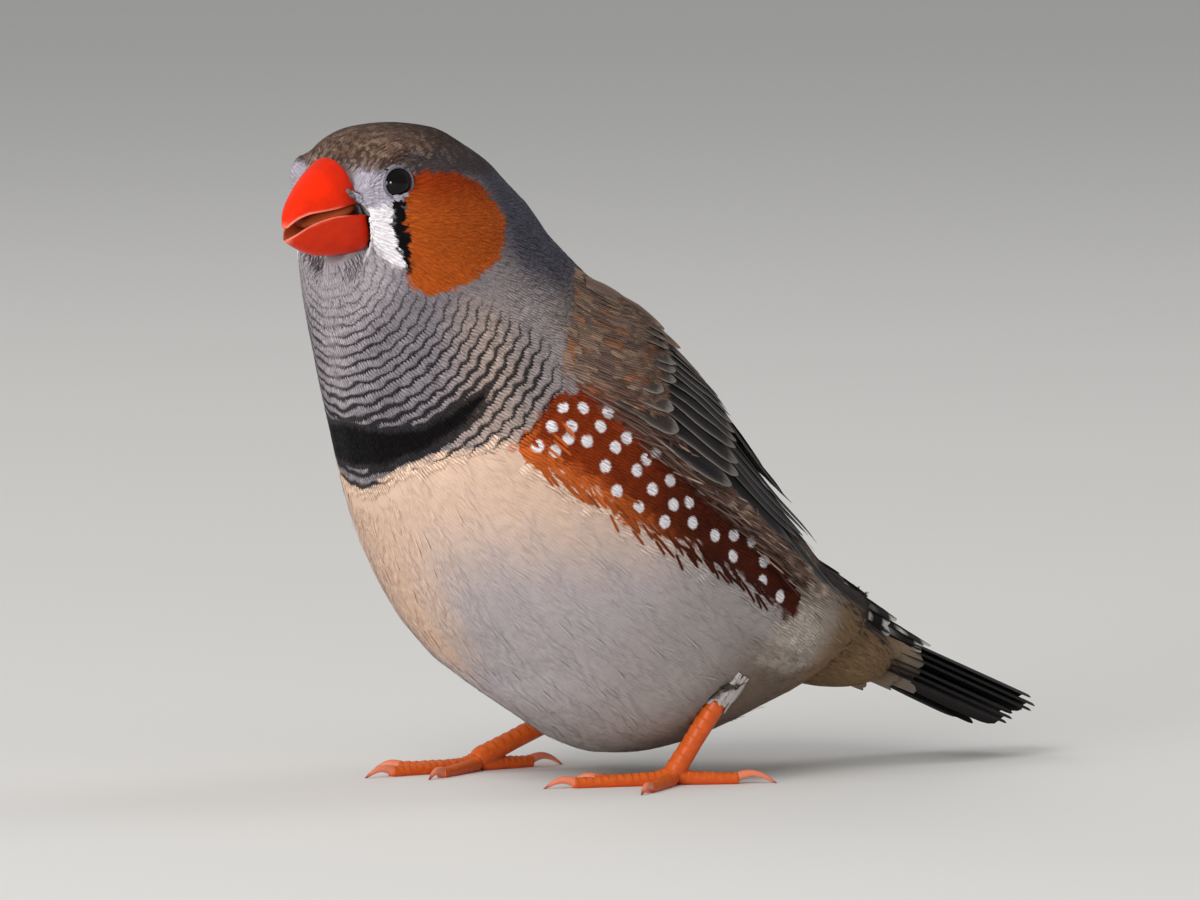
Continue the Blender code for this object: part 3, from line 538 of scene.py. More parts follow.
def plumage_group():
    group = bpy.data.node_groups.new("combed", "ShaderNodeTree")
    for name, kind in (("Tint", "NodeSocketColor"), ("Marks", "NodeSocketVector"),
                       ("Barbs", "NodeSocketVector"), ("Contrast", "NodeSocketFloat"),
                       ("Spot", "NodeSocketVector")):
        made = group.interface.new_socket(name, in_out="INPUT", socket_type=kind)
        if name == "Spot":
            made.default_value = (9.0, 9.0, 9.0)
    group.interface.new_socket("Color", in_out="OUTPUT", socket_type="NodeSocketColor")
    group.interface.new_socket("Relief", in_out="OUTPUT", socket_type="NodeSocketFloat")
    given = group.nodes.new("NodeGroupInput")
    result = group.nodes.new("NodeGroupOutput")
    link = group.links.new
    lines = added(group, "TexWave", wave_type="BANDS", bands_direction="X",
                  values={"Scale": 0.88, "Distortion": 0.7, "Detail": 2.0, "Detail Scale": 1.5})
    link(given.outputs["Barbs"], lines.inputs["Vector"])
    stretch = added(group, "VectorMath", operation="MULTIPLY", values={1: (3.4, 0.5, 1.0)})
    link(given.outputs["Barbs"], stretch.inputs[0])
    strands = added(group, "TexNoise", values={"Scale": 1.0, "Detail": 2.0})
    link(stretch.outputs[0], strands.inputs["Vector"])
    comb = added(group, "Math", operation="MULTIPLY", values={1: 0.5})
    link(lines.outputs["Fac"], comb.inputs[0])
    hair = added(group, "Math", operation="ADD")
    link(comb.outputs[0], hair.inputs[0])
    link(strands.outputs["Fac"], hair.inputs[1])

    parts = added(group, "SeparateXYZ")
    link(given.outputs["Marks"], parts.inputs[0])
    ragged_range = {"From Min": 0.25, "From Max": 1.25, "To Min": -0.16, "To Max": 0.16}
    ruffle = added(group, "MapRange", values=ragged_range)
    link(hair.outputs[0], ruffle.inputs["Value"])
    moved = added(group, "Math", operation="ADD")
    link(parts.outputs["X"], moved.inputs[0])
    link(ruffle.outputs[0], moved.inputs[1])
    saw = added(group, "Math", operation="PINGPONG", values={1: 0.5})
    link(moved.outputs[0], saw.inputs[0])
    doubled = added(group, "Math", operation="MULTIPLY", values={1: 2.0})
    link(saw.outputs[0], doubled.inputs[0])
    short = added(group, "Math", operation="SUBTRACT")
    link(parts.outputs["Y"], short.inputs[0])
    link(doubled.outputs[0], short.inputs[1])
    bar = added(group, "MapRange", interpolation_type="SMOOTHSTEP",
                values={"From Min": -0.2, "From Max": 0.06, "To Min": 0.0, "To Max": 1.0})
    link(short.outputs[0], bar.inputs["Value"])
    present = added(group, "Math", operation="GREATER_THAN", values={1: 0.02})
    link(parts.outputs["Y"], present.inputs[0])
    barred = added(group, "Math", operation="MULTIPLY")
    link(bar.outputs[0], barred.inputs[0])
    link(present.outputs[0], barred.inputs[1])
    firm = added(group, "Math", operation="MULTIPLY")
    link(barred.outputs[0], firm.inputs[0])
    link(parts.outputs["Z"], firm.inputs[1])

    spread = added(group, "MapRange",
                   values={"From Min": 0.3, "From Max": 1.15, "To Min": 0.0, "To Max": 1.0})
    link(hair.outputs[0], spread.inputs["Value"])
    weaker = added(group, "Math", operation="SUBTRACT", values={1: 0.5})
    link(spread.outputs[0], weaker.inputs[0])
    scaled = added(group, "Math", operation="MULTIPLY_ADD", values={2: 1.0})
    link(weaker.outputs[0], scaled.inputs[0])
    link(given.outputs["Contrast"], scaled.inputs[1])
    black = added(group, "Mix", data_type="RGBA", values={7: (*BLACK, 1)})
    link(firm.outputs[0], black.inputs[0])
    link(given.outputs["Tint"], black.inputs[6])
    off = added(group, "VectorMath", operation="LENGTH")
    link(given.outputs["Spot"], off.inputs[0])
    frayed = added(group, "MapRange", values=ragged_range)
    link(hair.outputs[0], frayed.inputs["Value"])
    ragged = added(group, "Math", operation="ADD")
    link(off.outputs["Value"], ragged.inputs[0])
    link(frayed.outputs[0], ragged.inputs[1])
    dot = added(group, "MapRange", interpolation_type="SMOOTHSTEP",
                values={"From Min": SPOT_SIZE - 0.1, "From Max": SPOT_SIZE + 0.1,
                        "To Min": 0.95, "To Max": 0.0})
    link(ragged.outputs[0], dot.inputs["Value"])
    dotted = added(group, "Mix", data_type="RGBA", values={7: (*WHITE, 1)})
    link(dot.outputs[0], dotted.inputs[0])
    link(black.outputs[2], dotted.inputs[6])
    shaded = added(group, "VectorMath", operation="SCALE")
    link(dotted.outputs[2], shaded.inputs[0])
    link(scaled.outputs[0], shaded.inputs["Scale"])
    link(shaded.outputs[0], result.inputs["Color"])
    link(spread.outputs[0], result.inputs["Relief"])
    return group


combed = plumage_group()


def plumage(name, roughness, contrast, relief, sheen=0.02, spotted=False):
    """A soft feather finish whose barbs stand out by the contrast and the relief."""
    material, shader, tree = finish(name, roughness)
    shader.inputs["Sheen Weight"].default_value = sheen
    shader.inputs["Sheen Roughness"].default_value = 0.5
    shader.inputs["Specular IOR Level"].default_value = 0.08
    look = tree.nodes.new("ShaderNodeGroup")
    look.node_tree = combed
    look.inputs["Contrast"].default_value = contrast
    tint = added(tree, "Attribute", attribute_name="tint")
    marks = added(tree, "Attribute", attribute_name="marks")
    barbs = added(tree, "UVMap", uv_map="Barbs")
    bump = added(tree, "Bump", values={"Strength": relief, "Distance": 0.0001})
    tree.links.new(tint.outputs["Color"], look.inputs["Tint"])
    tree.links.new(marks.outputs["Vector"], look.inputs["Marks"])
    tree.links.new(barbs.outputs["UV"], look.inputs["Barbs"])
    tree.links.new(look.outputs["Relief"], bump.inputs["Height"])
    tree.links.new(look.outputs["Color"], shader.inputs["Base Color"])
    tree.links.new(bump.outputs["Normal"], shader.inputs["Normal"])
    if spotted:
        spot = added(tree, "Attribute", attribute_name="spot")
        tree.links.new(spot.outputs["Vector"], look.inputs["Spot"])
    return material


# The skin takes the same markings, and is drawn in under the coat by the coat's depth.


def coat_depth(points):
    """How deep the coat lies over the skin: thin on the face, deep on the belly."""
    height = points[:, 2]
    left, behind, _, _ = unturned(points)
    face = smoothstep(4, -4, behind) * smoothstep(54, 58, height)
    return 0.27 * (1 - face) + 0.12 * face


skin_colour, skin_phase, skin_bars, _, _, skin_strength = markings(hull_points)
# Round each eye the skin dips under the ball, and the lid closes over the dip.
eye_near = np.min([np.linalg.norm(hull_points - eye, axis=1) for eye in eye_at.values()], axis=0)
sunk = coat_depth(hull_points) + 1.2 * smoothstep(2.12, 1.82, eye_near)
inset = hull_points - hull_normals * sunk[:, None]
skin.data.vertices.foreach_set("co", placed(inset).astype(np.float32).ravel())
skin.data.shade_smooth()


def give(mesh, name, kind, values):
    """Stores one value per vertex on a mesh under a name its finish reads."""
    made = mesh.attributes.new(name, kind, "POINT")
    kept_as = "color" if kind == "FLOAT_COLOR" else "vector"
    made.data.foreach_set(kept_as, np.asarray(values, np.float32).ravel())


def rgba(colour):
    return np.concatenate([colour, np.ones((len(colour), 1))], axis=1)


give(skin.data, "tint", "FLOAT_COLOR", rgba(skin_colour))
give(skin.data, "marks", "FLOAT_VECTOR", np.stack([skin_phase, skin_bars, skin_strength], axis=1))
skin.data.materials.clear()
skin.data.materials.append(plumage("plumage_skin", 0.85, 0.0, 0.0))
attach(skin, "root")
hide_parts(*FLESH)

# Coat
# Each feather is a thin arched vane with a split fringe. Roots are strewn over the coat's
# surface no nearer than a set distance, and each feather follows the lie of the plumage.
SAMPLES = 260000
rng = np.random.default_rng(11)


def strewn():
    """Places all over the surface, thinned to the spacing that each part of the bird has."""
    a, b, c, d = (hull_points[corners[:, k]] for k in range(4))
    area = np.linalg.norm(np.cross(c - a, d - b), axis=1) / 2
    picked = rng.choice(len(corners), SAMPLES, p=area / area.sum())
    s, t = rng.random((2, SAMPLES, 1))
    points = (a[picked] * (1 - s) + b[picked] * s) * (1 - t) + (d[picked] * (1 - s) + c[picked] * s) * t
    return points, face_normals[picked]


def lie(points, normals):
    """The direction in which the plumage lies at each point."""
    height = points[:, 2]
    share = smoothstep(57, 45, height)[:, None]
    from_bill = points - np.array([3.0, -29.5, 61.5])
    from_bill /= np.linalg.norm(from_bill, axis=1, keepdims=True)
    way = from_bill * (1 - share) + AXIS * share
    for eye in eye_at.values():
        away = points - eye
        near = np.linalg.norm(away, axis=1, keepdims=True)
        way = way + away / near * 0.9 * smoothstep(4.0, 2.0, near)
    way = way - normals * np.sum(way * normals, axis=1, keepdims=True)
    return way / np.linalg.norm(way, axis=1, keepdims=True)


def nearest(points):
    """The nearest places on the coat's surface and the smoothed normals there."""
    found = [hull.find_nearest(p) for p in points.tolist()]
    places = np.array([hit[0] for hit in found])
    return places, face_normals[[hit[2] for hit in found]]


def spacing_at(points):
    """How far apart feather roots stand: closest on the face, widest on the belly."""
    height = points[:, 2]
    left, behind, _, _ = unturned(points)
    far, angle = along_trunk(points)
    face = smoothstep(8, 0, behind) * smoothstep(50, 56, height)
    return 0.56 - 0.25 * face - 0.06 * smoothstep(44, 52, height)


samples, sample_normals = strewn()
out, _, _, beyond = beyond_bill(samples)
allowed = ~((out > -2.2) & (beyond < 0))
for side, clear in (("left", 1.93), ("right", 1.93)):
    allowed &= np.linalg.norm(samples - eye_at[side], axis=1) > clear
sample_far, sample_angle = along_trunk(samples)
covered = (sample_far > 9) & (sample_far < 34) & (sample_angle > 16) & (sample_angle < 76)
allowed &= ~covered
samples, sample_normals = samples[allowed], sample_normals[allowed]
gaps = spacing_at(samples)
tree = KDTree(len(samples))
for k, place in enumerate(samples.tolist()):
    tree.insert(place, k)
tree.balance()
taken = np.zeros(len(samples), bool)
kept = []
for k, place in enumerate(samples.tolist()):
    if taken[k]:
        continue
    kept.append(k)
    for _, other, _ in tree.find_range(place, gaps[k]):
        taken[other] = True
roots, root_normals = samples[kept], sample_normals[kept]

# Unwrapped places for baking: along a bent line through the body, and round it.
SPINE = np.array([(-22, 71), (-20, 62), (-16.4, 54.7), (-10.7, 45.3), (-4, 32.5), (4.3, 20), (14.6, 12.2),
                  (24.4, 12.2), (37, 12.6), (62, 6)], float)
PATCH = 0.003


def unwrapped(points):
    """Where each point lies on a flat unwrap of the body's own shape."""
    best = np.full(len(points), 1e9)
    place = np.zeros((len(points), 2))
    runs = np.linalg.norm(np.diff(SPINE, axis=0), axis=1)
    starts = np.concatenate([[0], np.cumsum(runs)])
    for k, (a, b) in enumerate(zip(SPINE[:-1], SPINE[1:])):
        run = (b - a) / runs[k]
        rel = points[:, 1:] - a
        share = np.clip(rel @ run, 0, runs[k])
        off = rel - share[:, None] * run
        distance = np.hypot(np.linalg.norm(off, axis=1), points[:, 0])
        nearer = distance < best
        best = np.where(nearer, distance, best)
        over = off @ np.array([-run[1], run[0]])
        angle = np.arctan2(points[:, 0], over) / (2 * math.pi) + 0.5
        place[nearer, 0] = angle[nearer]
        place[nearer, 1] = ((starts[k] + share) / starts[-1])[nearer]
    return place


def feather_form(rows, columns, fringe, barbs, side_barbs, seed, roundness=0.12, slim=0.35):
    """A feather's points as shares across and along, and its faces, with a split fringe."""
    dice = np.random.default_rng(seed)

    def half(v):
        v = np.asarray(v, float)
        rise = slim + (1 - slim) * np.sin(np.pi / 2 * np.minimum(v / 0.6, 1))
        return rise - 0.3 * np.maximum(v - 0.6, 0) ** 2 / 0.16

    across = np.linspace(-1, 1, columns)
    points = []
    for v in rows:
        for u in across:
            points.append((u * half(v), v - roundness * u * u * v * v))
    faces = []
    for i in range(len(rows) - 1):
        for j in range(columns - 1):
            a = i * columns + j
            faces.append((a, a + 1, a + columns + 1, a + columns))
    last = rows[-1]
    for k in range(barbs):
        u = -1 + 2 * (k + 0.5) / barbs
        gap = 1.15 / barbs
        sway = dice.uniform(-0.5, 0.5) / barbs
        reach = fringe * (1 - 0.25 * u * u) * dice.uniform(0.55, 1.0)
        start = len(points)
        for w in (max(u - gap, -1), min(u + gap, 1)):
            points.append((w * half(last), last - roundness * w * w * last * last - 0.02))
        points.append((u * half(last) * 1.08 + sway, last - roundness * u * u * last * last + reach))
        faces.append((start, start + 1, start + 2))
    for side in (-1, 1):
        for k in range(side_barbs):
            v = 0.4 + (last - 0.42) * (k + dice.uniform(0, 1)) / side_barbs
            gap = 0.3 * (last - 0.4) / side_barbs
            start = len(points)
            near = v - roundness * v * v
            points.append((side * half(v) * 0.97, near - gap))
            points.append((side * half(v) * 0.97, near + gap))
            points.append((side * half(v) * (1.14 + dice.uniform(0, 0.1)), near + gap + fringe * 0.8))
            faces.append((start, start + 1, start + 2) if side < 0 else (start, start + 2, start + 1))
    return np.array(points), faces


def coat(name, chosen, finish_with, forms, length, width, depth, lift=0.02, arch=0.025,
         jitter=6.0, raise_tip=0.0, tinted=None, shade=0.06, towards=None, steps=4, even=0.9,
         spotted=False, streak=None, streaked=1.0):
    """One piece of the coat: a feather at each chosen root, following the surface."""
    start, facing = roots[chosen], root_normals[chosen]
    count = len(start)
    length = np.broadcast_to(length, count) * rng.uniform(0.88, 1.12, count)
    width = np.broadcast_to(width, count) * rng.uniform(0.9, 1.1, count)
    depth = np.broadcast_to(depth, count)
    lift = np.broadcast_to(lift, count)
    swing = np.radians(rng.normal(0, jitter, count))
    line, normal = [start], [facing]
    for _ in range(steps):
        way = (towards or lie)(line[-1], normal[-1])
        side = np.cross(way, normal[-1])
        way = way * np.cos(swing)[:, None] + side * np.sin(swing)[:, None]
        there, outward = nearest(line[-1] + way * (length / steps)[:, None])
        line.append(there)
        normal.append(outward)
    line, normal = np.stack(line, axis=1), np.stack(normal, axis=1)
    brightness = 1 + rng.normal(0, shade, count)
    slip = rng.normal(0, 0.05, count)
    pick = rng.integers(0, len(forms), count)
    all_points, all_tint, all_marks, all_barbs, all_bake, quads, triples = [], [], [], [], [], [], []
    all_facing, all_spots = [], []
    total = 0
    patch = unwrapped(start)
    for k, (shape, faces) in enumerate(forms):
        mine = np.nonzero(pick == k)[0]
        if not len(mine):
            continue
        u, v = shape[:, 0], np.clip(shape[:, 1], 0, None)
        at = np.minimum(v * steps, steps)
        low = np.minimum(at.astype(int), steps - 1)
        share = (v * steps - low)[None, :, None]
        here, after = line[mine][:, low], line[mine][:, low + 1]
        centre = here + (after - here) * share
        n0, n1 = normal[mine][:, low], normal[mine][:, low + 1]
        out = n0 + (n1 - n0) * np.clip(share, 0, 1)
        out = out / np.linalg.norm(out, axis=2, keepdims=True)
        ahead = after - here
        ahead = ahead / np.maximum(np.linalg.norm(ahead, axis=2, keepdims=True), 1e-9)
        side = np.cross(ahead, out)
        half = (width[mine] / 2)[:, None]
        high = -depth[mine][:, None] * np.clip(1 - v, 0, 1)[None, :] ** 2
        high = high + lift[mine][:, None] * (0.4 + 0.6 * np.clip(v, 0, 1))[None, :]
        high = high - arch * half * (u * u)[None, :]
        high = high + raise_tip * rng.uniform(-0.4, 1, (len(mine), 1)) * v[None, :] ** 3
        points = centre + side * (half * u[None, :])[:, :, None] + out * high[:, :, None]
        n = len(u)
        flat = points.reshape(-1, 3)
        seen = line[mine][:, -1] * 0.8 + line[mine][:, -2] * 0.2
        seen_colour = markings(seen)[0]
        if tinted:
            seen_colour = tinted(seen, seen_colour)
        _, phase, bars, _, _, strength = markings(flat)
        tint = np.repeat(seen_colour * brightness[mine][:, None], n, axis=0)
        if streak is not None:
            middle = np.exp(-((u / 0.4) ** 2)) * smoothstep(0.95, 0.7, v)
            share = np.broadcast_to(streaked, count)[mine]
            tint = blended(tint, streak, np.tile(middle, len(mine)) * 0.75 * np.repeat(share, n))
        all_points.append(flat)
        all_facing.append(out.reshape(-1, 3))
        if spotted:
            shown_line = line[mine][:, 2:]
            away = np.linalg.norm(shown_line[:, :, None] - spot_places[None, None], axis=3).min(axis=1)
            nearest_spot = spot_places[np.argmin(away, axis=1)]
            all_spots.append(flat - np.repeat(nearest_spot, n, axis=0))
        all_tint.append(tint)
        all_marks.append(np.stack([phase + np.repeat(slip[mine], n), bars, strength], axis=1))
        offset = rng.uniform(0, 40, (len(mine), 1))
        comb = u[None, :] * half + 0.1 * v[None, :] * length[mine][:, None] + offset
        all_barbs.append(np.stack([comb, v[None, :] * length[mine][:, None] + offset], axis=2).reshape(-1, 2))
        bake = patch[mine][:, None, :] + np.stack([u * 0.5, v - 0.5], axis=1)[None] * PATCH
        all_bake.append(bake.reshape(-1, 2))
        base = total + np.arange(len(mine)) * n
        for corners_wanted, kind in ((4, quads), (3, triples)):
            block = np.array([f for f in faces if len(f) == corners_wanted])
            if len(block):
                kind.append((base[:, None, None] + block[None]).reshape(-1, corners_wanted))
        total += len(flat)
    points = np.concatenate(all_points)
    quads = np.concatenate(quads) if quads else np.zeros((0, 4), int)
    triples = np.concatenate(triples) if triples else np.zeros((0, 3), int)
    piece = woven(name, points, quads, triples)
    soften(piece.data, np.concatenate(all_facing), even)
    give(piece.data, "tint", "FLOAT_COLOR", rgba(np.concatenate(all_tint)))
    give(piece.data, "marks", "FLOAT_VECTOR", np.concatenate(all_marks))
    if spotted:
        give(piece.data, "spot", "FLOAT_VECTOR", np.concatenate(all_spots))
    loops = np.concatenate([quads.ravel(), triples.ravel()])
    for layer, values in (("Barbs", np.concatenate(all_barbs)), ("OFBake", np.concatenate(all_bake))):
        uv = piece.data.uv_layers.new(name=layer)
        uv.data.foreach_set("uv", values[loops].astype(np.float32).ravel())
    piece.data.materials.append(finish_with)
    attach(piece, "root")
    return piece


def soften(mesh, facing, even):
    """Turns a coat piece's shading towards the body's own, so that tufts melt into one coat."""
    own = normals_of(mesh)
    own = np.where(np.sum(own * facing, axis=1, keepdims=True) < 0, -own, own)
    mixed = facing * even + own * (1 - even)
    mixed /= np.linalg.norm(mixed, axis=1, keepdims=True)
    mesh.normals_split_custom_set_from_vertices(mixed.tolist())


def woven(name, points, quads, triples):
    """A smooth-shaded object from points in millimetres and its four and three sided faces."""
    mesh = bpy.data.meshes.new(name)
    mesh.vertices.add(len(points))
    mesh.vertices.foreach_set("co", placed(points).astype(np.float32).ravel())
    loops = np.concatenate([quads.ravel(), triples.ravel()]).astype(np.int32)
    sizes = np.concatenate([np.full(len(quads), 4), np.full(len(triples), 3)])
    mesh.loops.add(len(loops))
    mesh.loops.foreach_set("vertex_index", loops)
    mesh.polygons.add(len(sizes))
    mesh.polygons.foreach_set("loop_start", np.concatenate([[0], np.cumsum(sizes)[:-1]]).astype(np.int32))
    mesh.update(calc_edges=True)
    mesh.validate()
    mesh.shade_smooth()
    piece = bpy.data.objects.new(name, mesh)
    bpy.context.scene.collection.objects.link(piece)
    return piece


def on_hull(far, angle, side):
    """The point of the coat's surface at a distance along the trunk and an angle, and its normal."""
    start = AXIS_FROM + AXIS * far
    a = math.radians(angle) * side
    out = math.cos(a) * DORSAL + math.sin(a) * np.array([1.0, 0, 0])
    hit, _, index, _ = hull.ray_cast(Vector(start + out * 60), Vector(-out), 120)
    if hit is None:
        return start + out, out
    return np.array(hit), face_normals[index]


spot_places = np.array([on_hull(far, angle, side)[0] for far, angle in SPOTS for side in (1, -1)])
face_forms = [feather_form((0, 0.45, 0.8), 3, 0.3, 4, 1, seed) for seed in range(4)]
neck_forms = [feather_form((0, 0.3, 0.55, 0.7, 0.8), 5, 0.26, 11, 3, 10 + seed) for seed in range(6)]
down_forms = [feather_form((0, 0.3, 0.55, 0.72), 5, 0.34, 13, 4, 20 + seed) for seed in range(6)]
flank_forms = [feather_form((0, 0.3, 0.5, 0.65, 0.76), 5, 0.32, 11, 4, 30 + seed) for seed in range(6)]

root_left, root_behind, root_height, _ = unturned(roots)
root_far, root_angle = along_trunk(roots)
root_ear = within(root_behind, root_height, EAR)
root_flank = within(root_far, root_angle * DEGREE, [(s, a * DEGREE) for s, a in FLANK])
on_head = (root_height > 50) & ((root_behind < 4) | (root_height > 62))
is_ear = (root_ear > -0.6) & (root_height > 50) & (np.abs(root_left) > 3)
is_face = on_head & ~is_ear
is_flank = (root_flank > -1.0) & ~is_ear & (root_height < 48)
margin_there = np.interp(np.degrees(np.arctan2(np.abs(roots[:, 0]), -(roots[:, 1] + 9))), *MARGIN_LOW)
is_belly = ~is_flank & ~is_face & ~is_ear & (root_height < margin_there + 0.6)
is_belly &= (root_angle > 80) | (root_far > 34)
is_back = ~is_flank & ~is_face & ~is_ear & ~is_belly & (root_far > -2) & (root_angle < 70)
is_shoulder = ~is_face & ~is_ear & (root_far > -4.5) & (root_far < 5.5) & (root_height > 38)
is_shoulder &= (root_angle < 86) & (root_angle > 20)
is_flank = is_flank & ~is_shoulder
is_belly = is_belly & ~is_shoulder
is_back = is_back & ~is_shoulder
is_neck = ~(is_shoulder | is_flank | is_face | is_ear | is_belly | is_back)


def speckled(places, colour):
    """Some crown feathers are darker and some paler, at random and most towards the forehead, so the crown
    looks scaled.
    """
    _, behind, height, _ = unturned(places)
    crown = smoothstep(65.7, 66.8, height) * smoothstep(9, 2, behind)
    dice = rng.random(len(places))
    crown = crown * (0.35 + 0.65 * smoothstep(2, -6, behind))
    colour = blended(colour, CROWN_DARK, crown * (dice < 0.4) * 0.6)
    return blended(colour, CROWN_PALE, crown * (dice > 0.82) * 0.45)


def rusty(places, colour):
    """Shoulder feathers run from grey-brown to tan, some of them rusty."""
    far, angle = along_trunk(places)
    here = smoothstep(-4.5, -1.0, far) * smoothstep(88, 76, angle)
    dice = rng.random(len(places))
    colour = blended(colour, SHOULDER, here)
    colour = blended(colour, SHOULDER_EDGE, here * (dice < 0.35) * 0.7)
    return blended(colour, RUST, here * (dice > 0.84) * 0.6)


def flank_top(places, colour):
    """Along the wing's edge the flank's feathers turn grey-brown, some with cream tips."""
    far, angle = along_trunk(places)
    near = smoothstep(5, 0, angle - np.interp(far, (0, 8, 20, 35), (84, 87, 90, 95)))
    dice = rng.random(len(places))
    colour = blended(colour, SHOULDER, near * 0.75)
    return blended(colour, CREAM, near * (dice > 0.92) * 0.35)


def flank_hem(places, colour):
    """Hairs over the hem keep the flank's own colour, darker towards the tail."""
    far, _ = along_trunk(places)
    return blended(np.tile(FLANK_GLOW, (len(places), 1)), FLANK_DARK, smoothstep(4, 22, far))


def edge_hair(places, colour):
    """Wispy hairs over the wing's edge: brown, grey and cream."""
    dice = rng.random(len(places))
    picked = np.tile(SHOULDER, (len(places), 1))
    picked = blended(picked, CREAM, (dice > 0.88) * 0.45)
    picked = blended(picked, FLANK_DARK, (dice < 0.3) * 0.7)
    return picked


def drooping(points, normals):
    """The lie of the flank's hem, turned down over the belly."""
    way = lie(points, normals) + np.array([0.0, 0.0, -0.35])
    way = way - normals * np.sum(way * normals, axis=1, keepdims=True)
    return way / np.linalg.norm(way, axis=1, keepdims=True)


hair_soft = plumage("plumage_hair", 0.7, 0.3, 0.0)
soft = plumage("plumage_soft", 0.8, 1.25, 0.6)
dotted_soft = plumage("plumage_spotted", 0.8, 1.0, 0.6, spotted=True)
fine_soft = plumage("plumage_face", 0.8, 0.6, 0.3)
down = plumage("plumage_down", 0.85, 0.16, 0.25)
bill_far = np.linalg.norm(roots - BILL_BASE, axis=1) - 4.6
eye_far = np.min([np.linalg.norm(roots - eye, axis=1) for eye in eye_at.values()], axis=0) - 2.0
small = smoothstep(0, 4, np.minimum(bill_far, eye_far * 1.3))

coat("face", is_face, fine_soft, face_forms, (0.9 + 0.9 * small)[is_face], (0.5 + 0.3 * small)[is_face],
     coat_depth(roots)[is_face], tinted=speckled)
coat("ears", is_ear, fine_soft, face_forms, 2.2, 0.62, coat_depth(roots)[is_ear])
coat("neck", is_neck, soft, neck_forms, 2.3, 1.5, coat_depth(roots)[is_neck])
is_back &= root_far < 40.5
coat("back", is_back, soft, neck_forms, 3.0, 2.0, coat_depth(roots)[is_back])
leg_far = np.min([np.linalg.norm(roots - np.array(outer), axis=1) for _, outer in KNEES.values()], axis=0)
smaller = 1 - 0.25 * smoothstep(6.0, 3.5, leg_far)
for name, side in (("left", is_belly & (roots[:, 0] > 0)), ("right", is_belly & (roots[:, 0] <= 0))):
    coat("belly_" + name, side, down, down_forms, (4.2 * smaller)[side], (2.2 * smaller)[side],
         coat_depth(roots)[side], lift=0.01, arch=0.012, shade=0.03, even=0.97)
shoulder_lift = 1.75 * smoothstep(-5.5, 3.0, root_far) * smoothstep(88, 78, root_angle)
coat("shoulders", is_shoulder, soft, neck_forms, 4.2, 2.1, coat_depth(roots)[is_shoulder], tinted=rusty,
     lift=0.05 + shoulder_lift[is_shoulder], streak=paint(52, 42, 38),
     streaked=smoothstep(-4.5, 0.5, root_far)[is_shoulder], shade=0.1)
wing_edge = np.interp(root_far, (0, 8, 20, 35), (82, 85, 88, 94))
edge_lift = 1.25 * np.exp(-(((root_angle - wing_edge) / 4.5) ** 2)) * smoothstep(-1, 4, root_far)
coat("flanks", is_flank, dotted_soft, flank_forms, 3.4, 1.6, coat_depth(roots)[is_flank], spotted=True,
     lift=0.05 + edge_lift[is_flank], tinted=flank_top, shade=0.1)
# Loose hairs break the flank's lower edge, the wing's edge and the belly's outline.
hair_forms = [feather_form((0, 0.35, 0.7, 0.9), 3, 0.12, 2, 2, 40 + seed, 0.0, 0.6) for seed in range(4)]
hem = (root_flank > -0.2) & (root_flank < 1.3) & (root_far > -2) & (root_far < 29) & (root_angle > 100)
hem &= rng.random(len(roots)) < 0.75
coat("flank_hairs", hem, hair_soft, hair_forms, 3.6, 0.3, 0.12, lift=0.13, jitter=9.0, shade=0.15,
     tinted=flank_hem, towards=drooping)
rim = (np.abs(root_angle - wing_edge - 3) < 4.5) & (root_far > 0) & (root_far < 33)
coat("wing_hairs", rim & (rng.random(len(roots)) < 0.6), hair_soft, hair_forms, 4.2, 0.2, 0.1, lift=1.35,
     jitter=7.0, shade=0.2, tinted=edge_hair, raise_tip=0.3)
wisp = is_belly & (rng.random(len(roots)) < 0.06)
coat("belly_wisps", wisp, hair_soft, hair_forms, 4.0, 0.2, 0.1, lift=0.05, jitter=8.0, shade=0.03,
     raise_tip=0.35)

# Bill
# Two waxy halves of horn, grown from the head: each is a cage of rings along its length,
# creased at the mouth's edge, hollowed on the mouth side and rounded by subdivision.
# Rings: distance out, mouth edge height, far edge height, half width.
BILL_UPPER = [(-1.9, 0.1, 5.6, 3.3), (-0.7, 0.5, 5.35, 3.45), (0.6, 0.7, 4.95, 3.4), (2.0, 0.95, 4.5, 3.0),
              (3.5, 1.3, 3.85, 2.4), (4.8, 1.6, 3.2, 1.8), (5.9, 1.5, 2.5, 1.2), (6.7, 1.15, 1.8, 0.65),
              (7.25, 0.75, 1.2, 0.24)]
BILL_LOWER = [(-1.9, -1.0, -5.2, 3.85), (-0.7, -0.6, -5.15, 3.8), (0.8, 0.0, -4.75, 3.5),
              (2.4, 0.5, -4.2, 3.0), (4.0, 0.6, -3.5, 2.35), (5.3, 0.5, -2.6, 1.7),
              (6.4, 0.1, -1.57, 1.05), (7.2, -0.15, -0.77, 0.45), (7.55, -0.22, -0.47, 0.18)]
FULLER = 1.03
MOUTH_HOLLOW = 0.28
ROUNDS = 3


